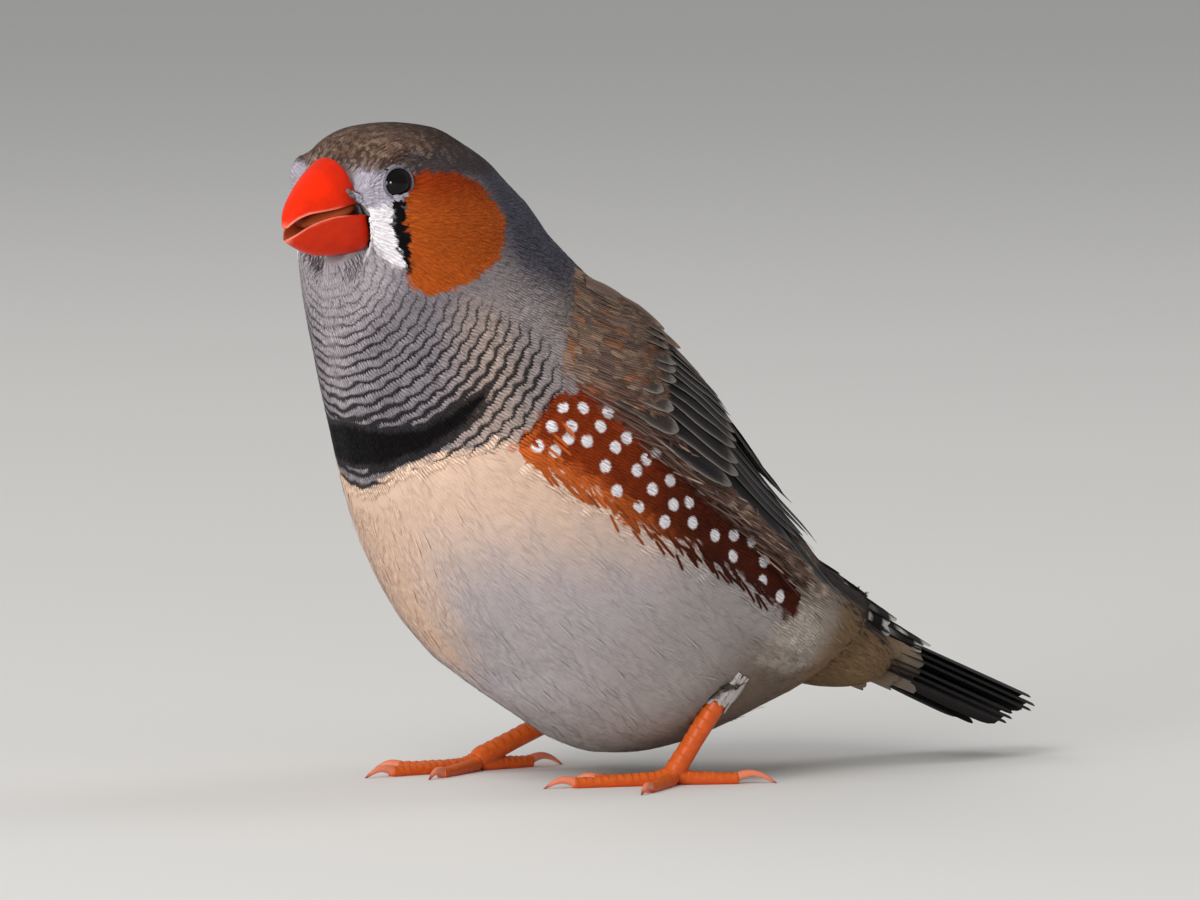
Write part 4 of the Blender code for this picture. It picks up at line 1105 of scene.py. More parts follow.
def bill_half(name, sections):
    """One half of the bill as a smooth closed piece."""
    points, faces, creased = [], [], []
    for out, mouth, far, half in sections:
        sign = 1 if far > mouth else -1
        # The lower half is boxy at its base, and the upper one is tucked in at its mouth's edge.
        boxy = 0.95 if sign > 0 else 0.62 + 0.33 * min(max(out / 5, 0), 1)
        tuck = 0.1 * min(max(1 - out / 4, 0), 1) if sign > 0 else 0.0
        for k in range(9):
            a = math.pi * k / 8
            across = half * FULLER * math.copysign(abs(math.cos(a)) ** boxy, math.cos(a))
            across *= 1 - tuck * (1 - math.sin(a)) ** 2
            rise = abs(far - mouth) * FULLER * math.sin(a) ** boxy
            points.append(BILL_BASE + BILL_FORWARD * out + BILL_LEFT * across
                          + BILL_UP * (mouth + sign * rise))
        for across in (-0.6, 0.0, 0.6):
            hollow = mouth + (far - mouth) * MOUTH_HOLLOW * (1.0 if across == 0 else 0.8)
            points.append(BILL_BASE + BILL_FORWARD * (out - 0.15) + BILL_LEFT * half * across
                          + BILL_UP * hollow)
    for i in range(len(sections) - 1):
        for k in range(12):
            a, b = i * 12 + k, i * 12 + (k + 1) % 12
            faces.append((a, b, b + 12, a + 12))
            if k in (0, 8):
                creased.append((a, a + 12))
    faces.append(tuple(range(11, -1, -1)))
    last = (len(sections) - 1) * 12
    faces.append(tuple(range(last, last + 12)))
    if sections[0][2] < sections[0][1]:
        faces = [tuple(reversed(face)) for face in faces]
    mesh = bpy.data.meshes.new(name)
    mesh.from_pydata([tuple(p) for p in placed(points)], [], faces)
    mesh.update()
    crease = mesh.attributes.new("crease_edge", "FLOAT", "EDGE")
    for edge in mesh.edges:
        if tuple(sorted(edge.vertices)) in creased:
            crease.data[edge.index].value = 0.85
    piece = bpy.data.objects.new(name, mesh)
    bpy.context.scene.collection.objects.link(piece)
    modify(piece, "SUBSURF", levels=ROUNDS, render_levels=ROUNDS)
    bpy.ops.object.select_all(action="DESELECT")
    piece.select_set(True)
    bpy.ops.object.mode_set(mode="EDIT")
    bpy.ops.mesh.select_all(action="SELECT")
    bpy.ops.mesh.normals_make_consistent(inside=False)
    bpy.ops.object.mode_set(mode="OBJECT")
    piece.data.shade_smooth()
    return piece


BILL_RED = paint(242, 42, 0)
BILL_DEEP = paint(206, 38, 4)
BILL_LOW = paint(204, 42, 0)
BILL_PINK = paint(250, 150, 128)
MOUTH_BROWN = paint(158, 70, 34)
material, shader, tree = finish("bill_horn", 0.42)
shader.inputs["Specular IOR Level"].default_value = 0.2
shader.inputs["Subsurface Weight"].default_value = 0.06
shader.inputs["Subsurface Radius"].default_value = (0.0012, 0.0004, 0.0002)
shader.inputs["Subsurface Scale"].default_value = 0.6
tint = added(tree, "Attribute", attribute_name="tint")
place = added(tree, "TexCoord")
mottle = added(tree, "TexNoise", values={"Scale": 900.0, "Detail": 4.0, "Roughness": 0.6})
range_of = added(tree, "MapRange", values={"From Min": 0.3, "From Max": 0.7, "To Min": 0.9, "To Max": 1.08})
scale_by = added(tree, "VectorMath", operation="SCALE")
bump = added(tree, "Bump", values={"Strength": 0.12, "Distance": 0.0001})
tree.links.new(place.outputs["Object"], mottle.inputs["Vector"])
tree.links.new(mottle.outputs["Fac"], range_of.inputs["Value"])
tree.links.new(tint.outputs["Color"], scale_by.inputs[0])
tree.links.new(range_of.outputs[0], scale_by.inputs["Scale"])
tree.links.new(scale_by.outputs[0], shader.inputs["Base Color"])
tree.links.new(mottle.outputs["Fac"], bump.inputs["Height"])
tree.links.new(bump.outputs["Normal"], shader.inputs["Normal"])
horn = material

for name, sections in (("bill_upper", BILL_UPPER), ("bill_lower", BILL_LOWER)):
    half = bill_half(name + "_horn", sections)
    rel = measured(coordinates(half.data)) - BILL_BASE
    out, aside, high = rel @ BILL_FORWARD, np.abs(rel @ BILL_LEFT), rel @ BILL_UP
    upper = name == "bill_upper"
    outs, mouths = [row[0] for row in sections], [row[1] for row in sections]
    halves = [row[3] for row in sections]
    rim = np.abs(high - np.interp(out, outs, mouths))
    colour = np.tile(BILL_RED if upper else BILL_LOW, (len(rel), 1))
    colour = blended(colour, BILL_DEEP, 0.75 * smoothstep(1.6, 0.2, out))
    colour = blended(colour, BILL_DEEP, 0.35 * smoothstep(2.4, 0.6, rim) * upper)
    colour = blended(colour, BILL_PINK, 0.8 * smoothstep(0.32, 0.08, rim) * smoothstep(0.4, 2.0, out))
    colour = blended(colour, BILL_PINK, 0.75 * smoothstep(6.7, 7.6, out))
    mouth_side = normals_of(half.data) @ BILL_UP * (-1 if upper else 1)
    inside = (mouth_side > 0.35) & (aside < np.interp(out, outs, halves) * 0.9)
    colour = blended(colour, MOUTH_BROWN, 0.85 * inside)
    give(half.data, "tint", "FLOAT_COLOR", rgba(colour))
    half.data.materials.append(horn)
    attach(half, "root")
    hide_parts(name)

# The mouth's lining shows between the halves.
bpy.ops.object.select_all(action="DESELECT")
bpy.ops.mesh.primitive_uv_sphere_add(segments=40, ring_count=20, location=(0, 0, 0))
lining = bpy.context.object
lining.name = "mouth_lining"
ball = coordinates(lining.data) * (3.6, 3.15, 1.15)
inside_bill = (BILL_BASE + BILL_FORWARD * (0.9 + ball[:, :1]) + BILL_LEFT * ball[:, 1:2]
               + BILL_UP * (0.1 + ball[:, 2:]))
lining.data.vertices.foreach_set("co", placed(inside_bill).astype(np.float32).ravel())
lining.data.shade_smooth()
give(lining.data, "tint", "FLOAT_COLOR", rgba(np.tile(MOUTH_BROWN, (len(ball), 1))))
lining.data.materials.append(horn)
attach(lining, "root")

# Eyes and lids
# A wet black eye in each socket, ringed by a bare, beaded lid. Rings: radius, thickness, how far
# out, and beads round it.
LID_RINGS = ((1.68, 0.14, 0.0, 26),)
material, shader, tree = finish("eye_wet", 0.06)
shader.inputs["Base Color"].default_value = (0.003, 0.002, 0.0025, 1)
shader.inputs["Specular IOR Level"].default_value = 0.2
wet = material
material, shader, tree = finish("lid_skin", 0.6)
shader.inputs["Base Color"].default_value = (*paint(108, 106, 118), 1)
shader.inputs["Specular IOR Level"].default_value = 0.3
lid_skin = material
for name, look in eye_look.items():
    bpy.ops.object.select_all(action="DESELECT")
    bpy.ops.mesh.primitive_uv_sphere_add(segments=64, ring_count=32, radius=EYE_SIZE * MM,
                                         location=placed(eye_at[name]))
    ball = bpy.context.object
    ball.name = "eyeball_" + name
    bpy.ops.object.transform_apply(location=True, rotation=True, scale=True)
    ball.data.shade_smooth()
    ball.data.materials.append(wet)
    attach(ball, "root")
    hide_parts("eye_" + name)
    rings = []
    for radius, thick, out, beads in LID_RINGS:
        centre = eye_at[name] + look * (LID_OUT + out)
        bpy.ops.mesh.primitive_torus_add(major_radius=radius * MM, minor_radius=thick * MM,
                                         major_segments=140, minor_segments=12,
                                         location=placed(centre))
        ring = bpy.context.object
        ring.rotation_euler = Vector(look).to_track_quat("Z", "Y").to_euler()
        around = coordinates(ring.data)
        angle = np.arctan2(around[:, 1], around[:, 0])
        reach = np.hypot(around[:, 0], around[:, 1]) / MM - radius
        bead = 1 + 0.3 * np.abs(np.sin(angle * beads / 2)) - 0.15 * np.sin(angle * 3 + out * 9)
        along = around / np.linalg.norm(around[:, :2], axis=1, keepdims=True)
        scaled = np.stack([np.cos(angle) * (radius + reach * bead) * MM,
                           np.sin(angle) * (radius + reach * bead) * MM, around[:, 2] * bead], axis=1)
        ring.data.vertices.foreach_set("co", scaled.astype(np.float32).ravel())
        bpy.ops.object.transform_apply(location=True, rotation=True, scale=True)
        ring.data.shade_smooth()
        rings.append(ring)
    bpy.ops.object.select_all(action="DESELECT")
    for ring in rings:
        ring.select_set(True)
    bpy.ops.object.join()
    lid = bpy.context.object
    lid.name = "lid_" + name
    lid.data.materials.clear()
    lid.data.materials.append(lid_skin)
    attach(lid, "root")

# Legs and feet
# Scaled orange shanks and toes, each foot with its shank in one skin. Tubes with a step at
# each scale are joined, made one fine surface and smoothed; the claws are tapered and separate.
LEGS = {
    "left": ((8.2, 9.0, 17.5), (13.2, 11.2, 10.4), (11.6, 5.7, 1.35)),
    "right": ((-8.0, 6.8, 15.0), (-12.2, 7.2, 6.4), (-11.0, -5.8, 1.35)),
}
TARSUS = (1.25, 1.12, 1.06, 1.15)
TOES = {
    "left": {"hallux": (160, 6.8, 0.92, 0.7, 4.4), "inner": (-36, 8.4, 0.82, 0.6, 2.8),
             "middle": (-10, 11.2, 0.92, 0.64, 3.4), "outer": (44, 8.6, 0.82, 0.6, 2.8)},
    "right": {"hallux": (172, 6.8, 0.92, 0.7, 4.4), "inner": (-34, 8.4, 0.82, 0.6, 2.8),
              "middle": (-6, 11.2, 0.92, 0.64, 3.4), "outer": (26, 8.6, 0.82, 0.6, 2.8)},
}
TOE_LINE = ((0.0, 0.35), (0.14, 0.1), (0.34, 0.0), (0.6, 0.0), (0.82, 0.0), (1.0, 0.12))
FLAT = 0.26
SCALE_PITCH = 0.85
SCALE_STEP = 0.12
FOOT_VOXEL = 0.1
SPACING = 0.1


def tube(name, path, radii, front, pitch, step, pads=()):
    """A closed tube along a smooth path, stepped like overlapping scales on its front."""
    path, radii = np.asarray(path, float), np.asarray(radii, float)
    lengths = np.concatenate([[0], np.cumsum(np.linalg.norm(np.diff(path, axis=0), axis=1))])
    count = max(int(lengths[-1] / SPACING), 6)
    at = np.linspace(0, lengths[-1], count + 1)
    slopes = np.gradient(path, lengths, axis=0)
    k = np.clip(np.searchsorted(lengths, at, side="right") - 1, 0, len(path) - 2)
    span = (lengths[k + 1] - lengths[k])[:, None]
    t = ((at - lengths[k]) / span[:, 0])[:, None]
    centres = ((2 * t**3 - 3 * t**2 + 1) * path[k] + (t**3 - 2 * t**2 + t) * span * slopes[k]
               + (3 * t**2 - 2 * t**3) * path[k + 1] + (t**3 - t**2) * span * slopes[k + 1])
    radius = np.interp(at, lengths, radii)
    ahead = np.gradient(centres, axis=0)
    ahead /= np.linalg.norm(ahead, axis=1, keepdims=True)
    front = np.asarray(front, float)
    upper = front - ahead * (ahead @ front)[:, None]
    upper /= np.linalg.norm(upper, axis=1, keepdims=True)
    side = np.cross(ahead, upper)
    points = []
    for i in range(len(centres)):
        share = (at[i] / pitch) % 1.0
        plate = step * (0.5 - share)
        pad = sum(high * math.exp(-((at[i] / lengths[-1] - where) / 0.07) ** 2) for where, high in pads)
        for j in range(20):
            a = 2 * math.pi * j / 20
            face = max(math.cos(a), 0.0) ** 0.5
            under = max(-math.cos(a), 0.0)
            r = radius[i] + plate * face + pad * under
            points.append(centres[i] + (upper[i] * math.cos(a) + side[i] * math.sin(a)) * r)
    faces = []
    for i in range(len(centres) - 1):
        for j in range(20):
            a, b = i * 20 + j, i * 20 + (j + 1) % 20
            faces.append((a, b, b + 20, a + 20))
    faces.append(tuple(range(19, -1, -1)))
    last = (len(centres) - 1) * 20
    faces.append(tuple(range(last, last + 20)))
    points = np.array(points)
    points[:, 2] = np.maximum(points[:, 2], 0.0)
    mesh = bpy.data.meshes.new(name)
    mesh.from_pydata([tuple(p) for p in placed(points)], [], faces)
    mesh.update()
    piece = bpy.data.objects.new(name, mesh)
    bpy.context.scene.collection.objects.link(piece)
    return piece


SHANK = paint(206, 84, 16)
SHANK_PAINTED_HIGHLIGHT = paint(240, 150, 84)
SHANK_FLOOR_PAINTED_SHADE = paint(190, 62, 12)
CLAW_PINK = paint(222, 128, 96)
CLAW_TIP = paint(120, 62, 44)
material, shader, tree = finish("leg_scales", 0.42)
shader.inputs["Specular IOR Level"].default_value = 0.4
shader.inputs["Subsurface Weight"].default_value = 0.1
shader.inputs["Subsurface Radius"].default_value = (0.001, 0.0004, 0.0002)
shader.inputs["Subsurface Scale"].default_value = 0.5
tint = added(tree, "Attribute", attribute_name="tint")
place = added(tree, "TexCoord")
cells = added(tree, "TexVoronoi", values={"Scale": 1500.0})
range_of = added(tree, "MapRange", values={"From Min": 0.1, "From Max": 0.7, "To Min": 1.06, "To Max": 0.9})
scale_by = added(tree, "VectorMath", operation="SCALE")
bump = added(tree, "Bump", values={"Strength": 0.35, "Distance": 0.0001})
tree.links.new(place.outputs["Object"], cells.inputs["Vector"])
tree.links.new(cells.outputs["Distance"], range_of.inputs["Value"])
tree.links.new(tint.outputs["Color"], scale_by.inputs[0])
tree.links.new(range_of.outputs[0], scale_by.inputs["Scale"])
tree.links.new(scale_by.outputs[0], shader.inputs["Base Color"])
tree.links.new(range_of.outputs[0], bump.inputs["Height"])
tree.links.new(bump.outputs["Normal"], shader.inputs["Normal"])
scaly = material
material, shader, tree = finish("claw_horn", 0.3)
tint = added(tree, "Attribute", attribute_name="tint")
tree.links.new(tint.outputs["Color"], shader.inputs["Base Color"])
claw_horn = material

shanks = {}
for name, (inside, out, joint) in LEGS.items():
    side = 1 if name == "left" else -1
    inside, out, joint = np.array(inside), np.array(out), np.array(joint)
    run = (joint - out) / np.linalg.norm(joint - out)
    knee = out - run * 1.2
    shank = [knee, knee + (joint - knee) * 0.3, knee + (joint - knee) * 0.7, joint - run * 0.2]
    shanks[name] = (knee, joint)
    pieces = [tube("shank", shank, TARSUS, (0, -1, 0.25), SCALE_PITCH * 1.3, SCALE_STEP)]
    bpy.ops.mesh.primitive_uv_sphere_add(segments=24, ring_count=12, radius=1.12 * MM,
                                         location=placed(joint - run * 0.2))
    pieces.append(bpy.context.object)
    claws = []
    for toe, (heading, length, thick, thin, claw) in TOES[name].items():
        heading = math.radians(heading) * side
        ahead = np.array([math.sin(heading), -math.cos(heading), 0.0])
        start = np.array([joint[0], joint[1], 0.0])
        path, radii = [], []
        for share, rise in TOE_LINE:
            radius = thick + (thin - thick) * share
            radii.append(radius)
            path.append(start + ahead * length * share + np.array([0.0, 0.0, radius - FLAT + rise]))
        path = [joint - ahead * 0.1, *path[1:]]
        pads = ((0.36, 0.1), (0.68, 0.12), (0.95, 0.14))
        pieces.append(tube("toe", path, radii, (0, 0, 1), SCALE_PITCH, SCALE_STEP * 1.1, pads))
        nail, sizes = [], []
        for share in (0.0, 0.2, 0.4, 0.6, 0.8, 1.0):
            arch = math.sin(math.pi * (0.18 + 0.82 * share)) - math.sin(math.pi * 0.18)
            nail.append(path[-1] - ahead * 0.35 + ahead * (claw + 0.35) * share
                        + np.array([0, 0, 1.1 * arch * claw / 4 - 0.1 * share]))
            sizes.append(0.5 * (1 - share) ** 0.75 + 0.05)
        claws.append(tube("nail", nail, sizes, (0, 0, 1), 100.0, 0.0))
        claws[-1]["tip"] = [float(v) for v in nail[-1]]
    bpy.ops.object.select_all(action="DESELECT")
    for piece in pieces:
        piece.select_set(True)
    bpy.context.view_layer.objects.active = pieces[0]
    bpy.ops.object.join()
    leg = pieces[0]
    leg.name = "leg_" + name
    leg.data.remesh_voxel_size = FOOT_VOXEL * MM
    bpy.ops.object.voxel_remesh()
    modify(leg, "SMOOTH", factor=0.5, iterations=2)
    leg.data.shade_smooth()
    where = measured(coordinates(leg.data))
    colour = np.tile(SHANK, (len(where), 1))
    # Painted shade: within half a millimetre of the floor the legs are darkened, where the toes meet it.
    colour = blended(colour, SHANK_FLOOR_PAINTED_SHADE, smoothstep(0.5, 0.0, where[:, 2]) * 0.7)
    # Painted light: surfaces facing up are made paler, as if lit from above.
    lit = np.clip(normals_of(leg.data)[:, 2], 0, 1)
    colour = blended(colour, SHANK_PAINTED_HIGHLIGHT, 0.2 * lit)
    give(leg.data, "tint", "FLOAT_COLOR", rgba(colour))
    leg.data.materials.clear()
    leg.data.materials.append(scaly)
    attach(leg, "root")
    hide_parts("tarsus_" + name, "foot_" + name)
    for toe, nail in zip(TOES[name], claws):
        nail.name = "nail_" + toe + "_" + name
        tip = np.array(list(nail["tip"]))
        del nail["tip"]
        far_off = np.linalg.norm(measured(coordinates(nail.data)) - tip, axis=1)
        give(nail.data, "tint", "FLOAT_COLOR", rgba(blended(np.tile(CLAW_PINK, (len(far_off), 1)), CLAW_TIP,
                                                          smoothstep(1.2, 0.1, far_off))))
        nail.data.materials.append(claw_horn)
        nail.data.shade_smooth()
        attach(nail, "root")
        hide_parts("claw_" + toe + "_" + name)

# Wings
# Every wing feather is its own vane with a shaft, finer and more than the solids have: dark
# quills with pale edges, then the coverts in tiers over their roots, each edged paler.
# Tiers: how many; roots from and to, tips from and to, as distance along the trunk and angle
# from the back; width; height over the body at root and tip; colours of middle and edge.
QUILL = paint(31, 28, 29)
QUILL_EDGE = paint(88, 83, 82)
COVERT = paint(56, 49, 46)
COVERT_EDGE = paint(122, 114, 108)
WING_TIERS = {
    "primaries": (7, (13, 66), (19, 84), (41.2, 90), (33.8, 93), 2.7, 0.35, 0.7, QUILL, QUILL_EDGE),
    "secondaries": (6, (10, 46), (13, 74), (37.0, 60), (31.0, 86), 3.1, 0.6, 1.0, QUILL, QUILL_EDGE),
    "tertials": (4, (7, 22), (9, 46), (29.0, 20), (33.0, 48), 4.2, 0.95, 1.5, COVERT, QUILL_EDGE),
    "greater": (11, (4, 26), (6, 84), (18.5, 30), (20.5, 86), 2.7, 0.6, 1.8, QUILL, COVERT_EDGE),
    "median": (9, (-0.5, 26), (1.5, 82), (8.4, 30), (10.2, 84), 3.0, 0.3, 1.95, COVERT, COVERT_EDGE),
    "scapulars": (6, (-1.5, 24), (5, 17), (8.0, 25), (21, 16), 3.8, 0.4, 2.0, SHOULDER, SHOULDER_EDGE),
}
VANE_U = (-1, -0.9, -0.78, -0.45, -0.07, 0, 0.07, 0.45, 0.78, 0.9, 1)
VANE_V = (0, 0.08, 0.16, 0.26, 0.36, 0.46, 0.56, 0.66, 0.75, 0.83, 0.89, 0.94, 0.975, 1.0)
QUILL_SHAPE = ((0, 0.3, 0.6, 0.8, 0.92, 1.0), (0.4, 0.9, 1.0, 0.82, 0.56, 0.1))
COVERT_SHAPE = ((0, 0.3, 0.65, 0.85, 0.95, 1.0), (0.45, 0.9, 1.0, 0.86, 0.6, 0.14))


def vane_grid(centres, outward, widths, heights, camber, roll):
    """Points of one vane from its centre line: arched across, with a raised shaft."""
    ahead = np.gradient(centres, axis=0)
    ahead /= np.linalg.norm(ahead, axis=1, keepdims=True)
    across = np.cross(ahead, outward)
    across /= np.linalg.norm(across, axis=1, keepdims=True)
    u = np.array(VANE_U, float)
    lift = heights[:, None] - camber * widths[:, None] * (u**2)[None] + roll * u[None] * widths[:, None]
    shaft = 0.05 * np.exp(-((u / 0.05) ** 2))[None]
    lift = lift + shaft * (1 - np.linspace(0, 1, len(centres)) ** 3)[:, None]
    return (centres[:, None] + across[:, None] * (widths[:, None] / 2 * u[None])[:, :, None]
            + outward[:, None] * lift[:, :, None])


def vanes(name, grids, colours, bake, finish_with, replaced=None):
    """One piece from several vane grids, with their colours and barb lines."""
    rows, columns = len(VANE_V), len(VANE_U)
    points = np.concatenate([grid.reshape(-1, 3) for grid in grids])
    block = []
    for i in range(rows - 1):
        for j in range(columns - 1):
            a = i * columns + j
            block.append((a, a + 1, a + columns + 1, a + columns))
    block = np.array(block)
    quads = np.concatenate([block + k * rows * columns for k in range(len(grids))])
    piece = woven(name, points, quads, np.zeros((0, 3), int))
    give(piece.data, "tint", "FLOAT_COLOR", rgba(np.concatenate(colours)))
    u, v = np.meshgrid(VANE_U, VANE_V)
    barbs, patches = [], []
    for k, grid in enumerate(grids):
        long = np.linalg.norm(np.diff(grid[:, 5], axis=0), axis=1).sum()
        wide = np.linalg.norm(grid[:, 0] - grid[:, -1], axis=1).max() / 2
        slanted = np.abs(u) * wide * 1.2 - v * long * 0.75 + 3 * k
        barbs.append(np.stack([slanted.ravel(), (v * long + 7 * k).ravel()], axis=1))
        centre = unwrapped(bake[k][None])[0]
        patches.append(centre + np.stack([u.ravel() * 0.5, v.ravel() - 0.5], axis=1) * PATCH)
    loops = quads.ravel()
    for layer, values in (("Barbs", np.concatenate(barbs)), ("OFBake", np.concatenate(patches))):
        uv = piece.data.uv_layers.new(name=layer)
        uv.data.foreach_set("uv", values[loops].astype(np.float32).ravel())
    piece.data.materials.append(finish_with)
    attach(piece, "root")
    if replaced:
        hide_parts(*replaced)
    return piece


vane_finish = plumage("plumage_vane", 0.55, 0.35, 0.35, 0.05)
u_grid, v_grid = np.meshgrid(VANE_U, VANE_V)
for wing, side in (("left", 1), ("right", -1)):
    for tier, (count, root_a, root_b, tip_a, tip_b, width, low, high, middle, edge) in WING_TIERS.items():
        grids, colours, places = [], [], []
        shape = QUILL_SHAPE if tier in ("primaries", "secondaries", "tertials") else COVERT_SHAPE
        v = np.array(VANE_V)
        for k in range(count):
            share = k / (count - 1)
            root = np.array(root_a, float) + (np.array(root_b) - root_a) * share + rng.normal(0, 0.15, 2)
            stray = (0.7, 1.2) if tier in ("median", "scapulars") else (0.3, 0.5)
            tip = np.array(tip_a, float) + (np.array(tip_b) - tip_a) * share + rng.normal(0, 1, 2) * stray
            pairs = [on_hull(*(root + (tip - root) * s), side) for s in v]
            centres = np.array([pair[0] for pair in pairs])
            outward = np.array([pair[1] for pair in pairs])
            widths = width * np.interp(v, *shape)
            heights = low + (high - low) * v
            roll = 0.07 * side * (1 if tier != "scapulars" else -1)
            grid = vane_grid(centres, outward, widths, heights, 0.05, roll)
            grids.append(grid)
            places.append(centres[0])
            edging = smoothstep(0.72, 0.92, np.maximum(np.abs(u_grid), (v_grid - 0.5) * 2 * 0.97))
            tone = 1 + rng.normal(0, 0.08)
            colour = blended(np.tile(middle, (u_grid.size, 1)), edge, edging.ravel())
            shaft = np.exp(-((u_grid / 0.06) ** 2)).ravel()
            colour = blended(colour, np.array(middle) * 0.55, 0.7 * shaft)
            colours.append(colour * tone)
        replaced = ["wing_" + wing] if tier == "primaries" else None
        vanes(tier + "_" + wing, grids, colours, places, vane_finish, replaced)

# Tail
# Six pairs of long dark feathers, stacked and slightly fanned, with coverts over and under.
TAIL_ROOT = np.array([0.0, 33.0, 16.1])
TAIL_DROP = math.radians(24)
TAIL_BACK = np.array([0.0, math.cos(TAIL_DROP), -math.sin(TAIL_DROP)])
TAIL_OVER = np.array([0.0, math.sin(TAIL_DROP), math.cos(TAIL_DROP)])
TAIL_LENGTH = 24.4
TAIL_SHAPE = ((0, 0.3, 0.7, 0.92, 0.97, 1.0), (0.4, 0.8, 1.0, 1.0, 0.92, 0.62))
TAIL_BLACK = paint(24, 20, 20)
TAIL_EDGE = paint(29, 25, 24)
TAIL_WHITE = paint(196, 190, 184)
TAIL_BUFF = paint(122, 100, 76)
TAIL_GREY = paint(122, 114, 106)
TAIL_STEP = 0.72
# By pair, from the middle: how much shorter each feather is than the longest.
TAIL_SHORTER = (0.6, 0.0, 0.5, 3.2, 2.8, 3.8)
v = np.array(VANE_V)
grids, colours, places = [], [], []
for k in range(6):
    for side in (1, -1):
        below = -TAIL_OVER * (TAIL_STEP * (k + 0.5 * (side < 0)) + 0.35 * (k > 2))
        start = TAIL_ROOT + below + np.array([side * (0.5 + 0.25 * k), 0, 0])
        end = TAIL_ROOT + below + np.array([side * (0.9 + 0.5 * k), 0, 0])
        end = end + TAIL_BACK * (TAIL_LENGTH - TAIL_SHORTER[k] + rng.uniform(-0.15, 0.15))
        centres = start + (end - start) * v[:, None]
        outward = np.tile(TAIL_OVER, (len(v), 1))
        widths = 4.6 * np.interp(v, *TAIL_SHAPE)
        grids.append(vane_grid(centres, outward, widths, np.zeros(len(v)), 0.16, 0.04 * side))
        places.append(start)
        edging = smoothstep(0.8, 1.0, np.abs(u_grid)).ravel()
        colours.append(blended(np.tile(TAIL_BLACK, (u_grid.size, 1)), TAIL_EDGE, edging))
vanes("tail_feathers", grids, colours, places, vane_finish, ["tail"])
# Coverts stand in rings round the tail's base, above or below it. Rings: how many, where the
# roots and the tips lie along the tail, width, height over the tail's middle at root and tip,
# half width of the ring, and the widest angle from its top or bottom.
TAIL_MIDDLE = -1.7
TAIL_COVERTS = {
    "upper_long": (7, 0.5, 10.8, 2.5, 3.3, 2.1, 2.9, 62, True),
    "upper_short": (7, -2.5, 5.4, 2.6, 4.5, 3.3, 3.3, 66, True),
    "upper_first": (7, -6.0, 1.4, 2.8, 5.6, 4.1, 3.7, 70, True),
    "upper_rump": (7, -9.0, -2.2, 3.0, 6.0, 5.0, 4.2, 72, True),
    "under_long": (9, -0.5, 10.8, 2.5, 3.2, 3.0, 3.3, 84, False),
    "under_middle": (9, -2.8, 8.0, 2.7, 4.0, 3.7, 3.8, 86, False),
    "under_short": (9, -5.0, 4.6, 2.9, 5.4, 5.0, 4.3, 88, False),
}
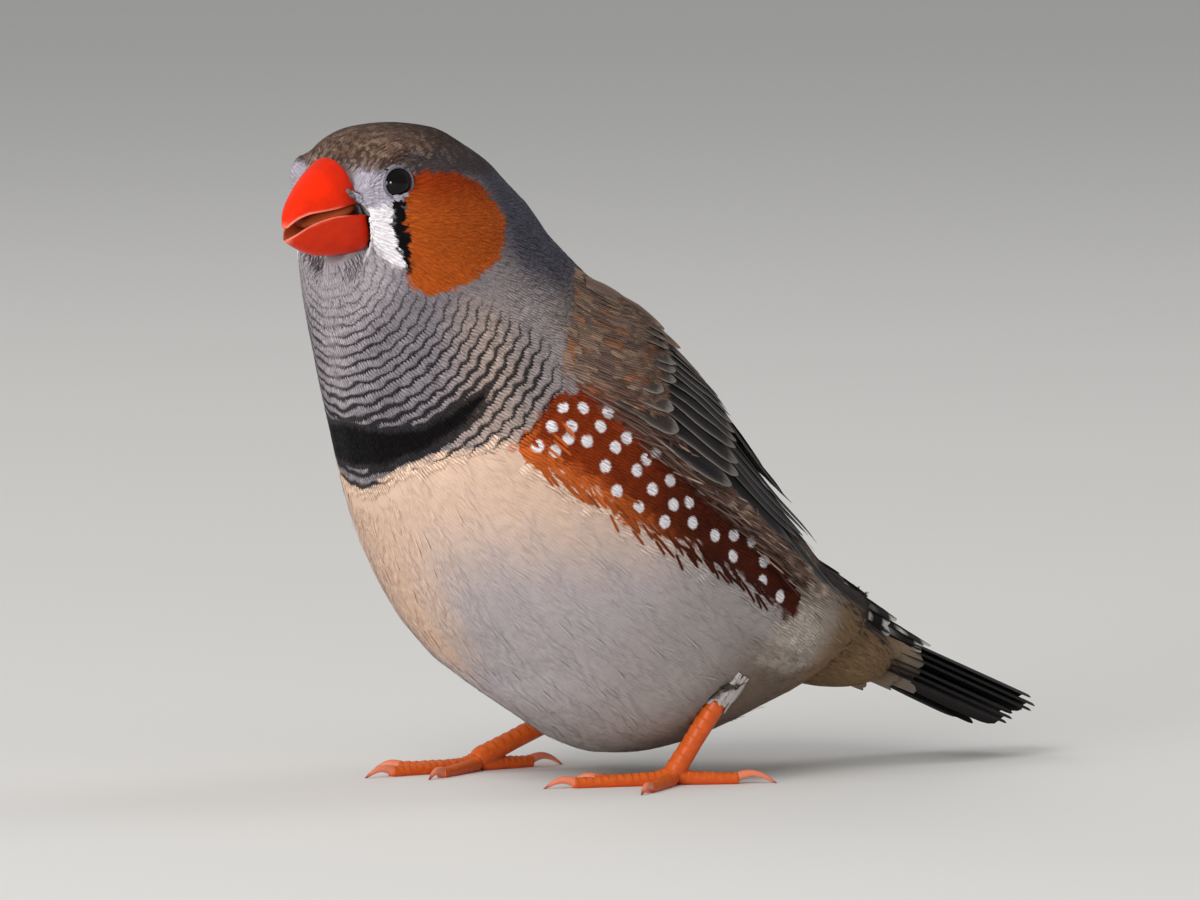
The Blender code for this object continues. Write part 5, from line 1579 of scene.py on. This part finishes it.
# The tips of the longer rings under the tail fade to grey by so much.
UNDER_PALE = {"under_long": 0.7, "under_middle": 0.35}
for name, (count, first, last, width, low, high, reach, wide, above) in TAIL_COVERTS.items():
    grids, colours, places = [], [], []
    over = 1 if above else -1
    for k in range(count):
        share = 2 * k / (count - 1) - 1
        turn = math.radians(wide) * (share + rng.uniform(-0.04, 0.04))
        tip = last - 1.5 * abs(share) + rng.uniform(-0.6, 0.6)
        along = first + (tip - first) * v
        ring_high = low + (high - low) * v
        ring_wide = reach * (1 - 0.25 * v)
        centres = TAIL_ROOT + along[:, None] * TAIL_BACK + TAIL_MIDDLE * TAIL_OVER
        centres = centres + (ring_high * math.cos(turn))[:, None] * TAIL_OVER * over
        centres = centres + (ring_wide * math.sin(turn))[:, None] * np.array([1.0, 0, 0])
        outward = (math.cos(turn) / ring_high)[:, None] * TAIL_OVER * over
        outward = outward + (math.sin(turn) / ring_wide)[:, None] * np.array([1.0, 0, 0])
        outward /= np.linalg.norm(outward, axis=1, keepdims=True)
        widths = width * np.interp(v, *COVERT_SHAPE)
        grids.append(vane_grid(centres, outward, widths, 0.25 * v, 0.1, 0.03))
        places.append(centres[0])
        if above:
            slip = rng.uniform(-0.05, 0.05)
            middle_bar = smoothstep(0.48, 0.52, v_grid + slip) * smoothstep(0.6, 0.56, v_grid + slip)
            white = smoothstep(0.85, 0.89, v_grid) + middle_bar
            white = white * smoothstep(0.05, 0.25, np.abs(u_grid)) * (name != "upper_rump")
            base = np.tile(RUMP * 0.8 if name == "upper_rump" else TAIL_BLACK, (u_grid.size, 1))
            colours.append(blended(base, TAIL_WHITE, np.clip(white, 0, 1).ravel()))
        else:
            tone = rng.uniform(0.85, 1.1)
            pale = smoothstep(0.5, 1.0, v_grid).ravel() * UNDER_PALE.get(name, 0.0)
            colours.append(blended(np.tile(TAIL_BUFF * tone, (u_grid.size, 1)), TAIL_GREY, pale))
    vanes("tail_" + name, grids, colours, places, vane_finish)

# Thigh cuffs
# Pale feathers close round each shank in two rings where it leaves the coat. Rings: where the
# roots and the tips lie along the shank from there, and how far out each stands.
CUFF_RINGS = ((14, -1.6, 1.5, 1.8, 1.5), (13, -0.8, 2.6, 1.5, 1.33))
CUFF_WIDTH = 1.1
cuff_colour = DOWN_REAR + (KNEE - DOWN_REAR) * 0.35
for side, (knee, joint) in shanks.items():
    thigh = (joint - knee) / np.linalg.norm(joint - knee)
    leaves, _, _, _ = hull.ray_cast(Vector(joint), Vector(-thigh), 30)
    outer = np.array(leaves)
    across = np.cross(thigh, (1.0, 0.0, 0.0))
    across /= np.linalg.norm(across)
    grids, colours, places = [], [], []
    for count, first, last, far_root, far_tip in CUFF_RINGS:
        for k in range(count):
            turn = math.tau * (k + rng.uniform(-0.15, 0.15)) / count
            outward = across * math.cos(turn) + np.cross(thigh, across) * math.sin(turn)
            along = first + (last + rng.uniform(-0.4, 0.4) - first) * v
            standing = far_root + (far_tip - far_root) * v
            centres = outer + along[:, None] * thigh + standing[:, None] * outward
            widths = CUFF_WIDTH * np.interp(v, *COVERT_SHAPE)
            facing = np.tile(outward, (len(v), 1))
            grids.append(vane_grid(centres, facing, widths, 0 * v, 0.12, 0.04))
            places.append(centres[0])
            tone = rng.uniform(0.9, 1.08)
            colours.append(np.tile(cuff_colour * tone, (u_grid.size, 1)))
    vanes("cuff_" + side, grids, colours, places, vane_finish)
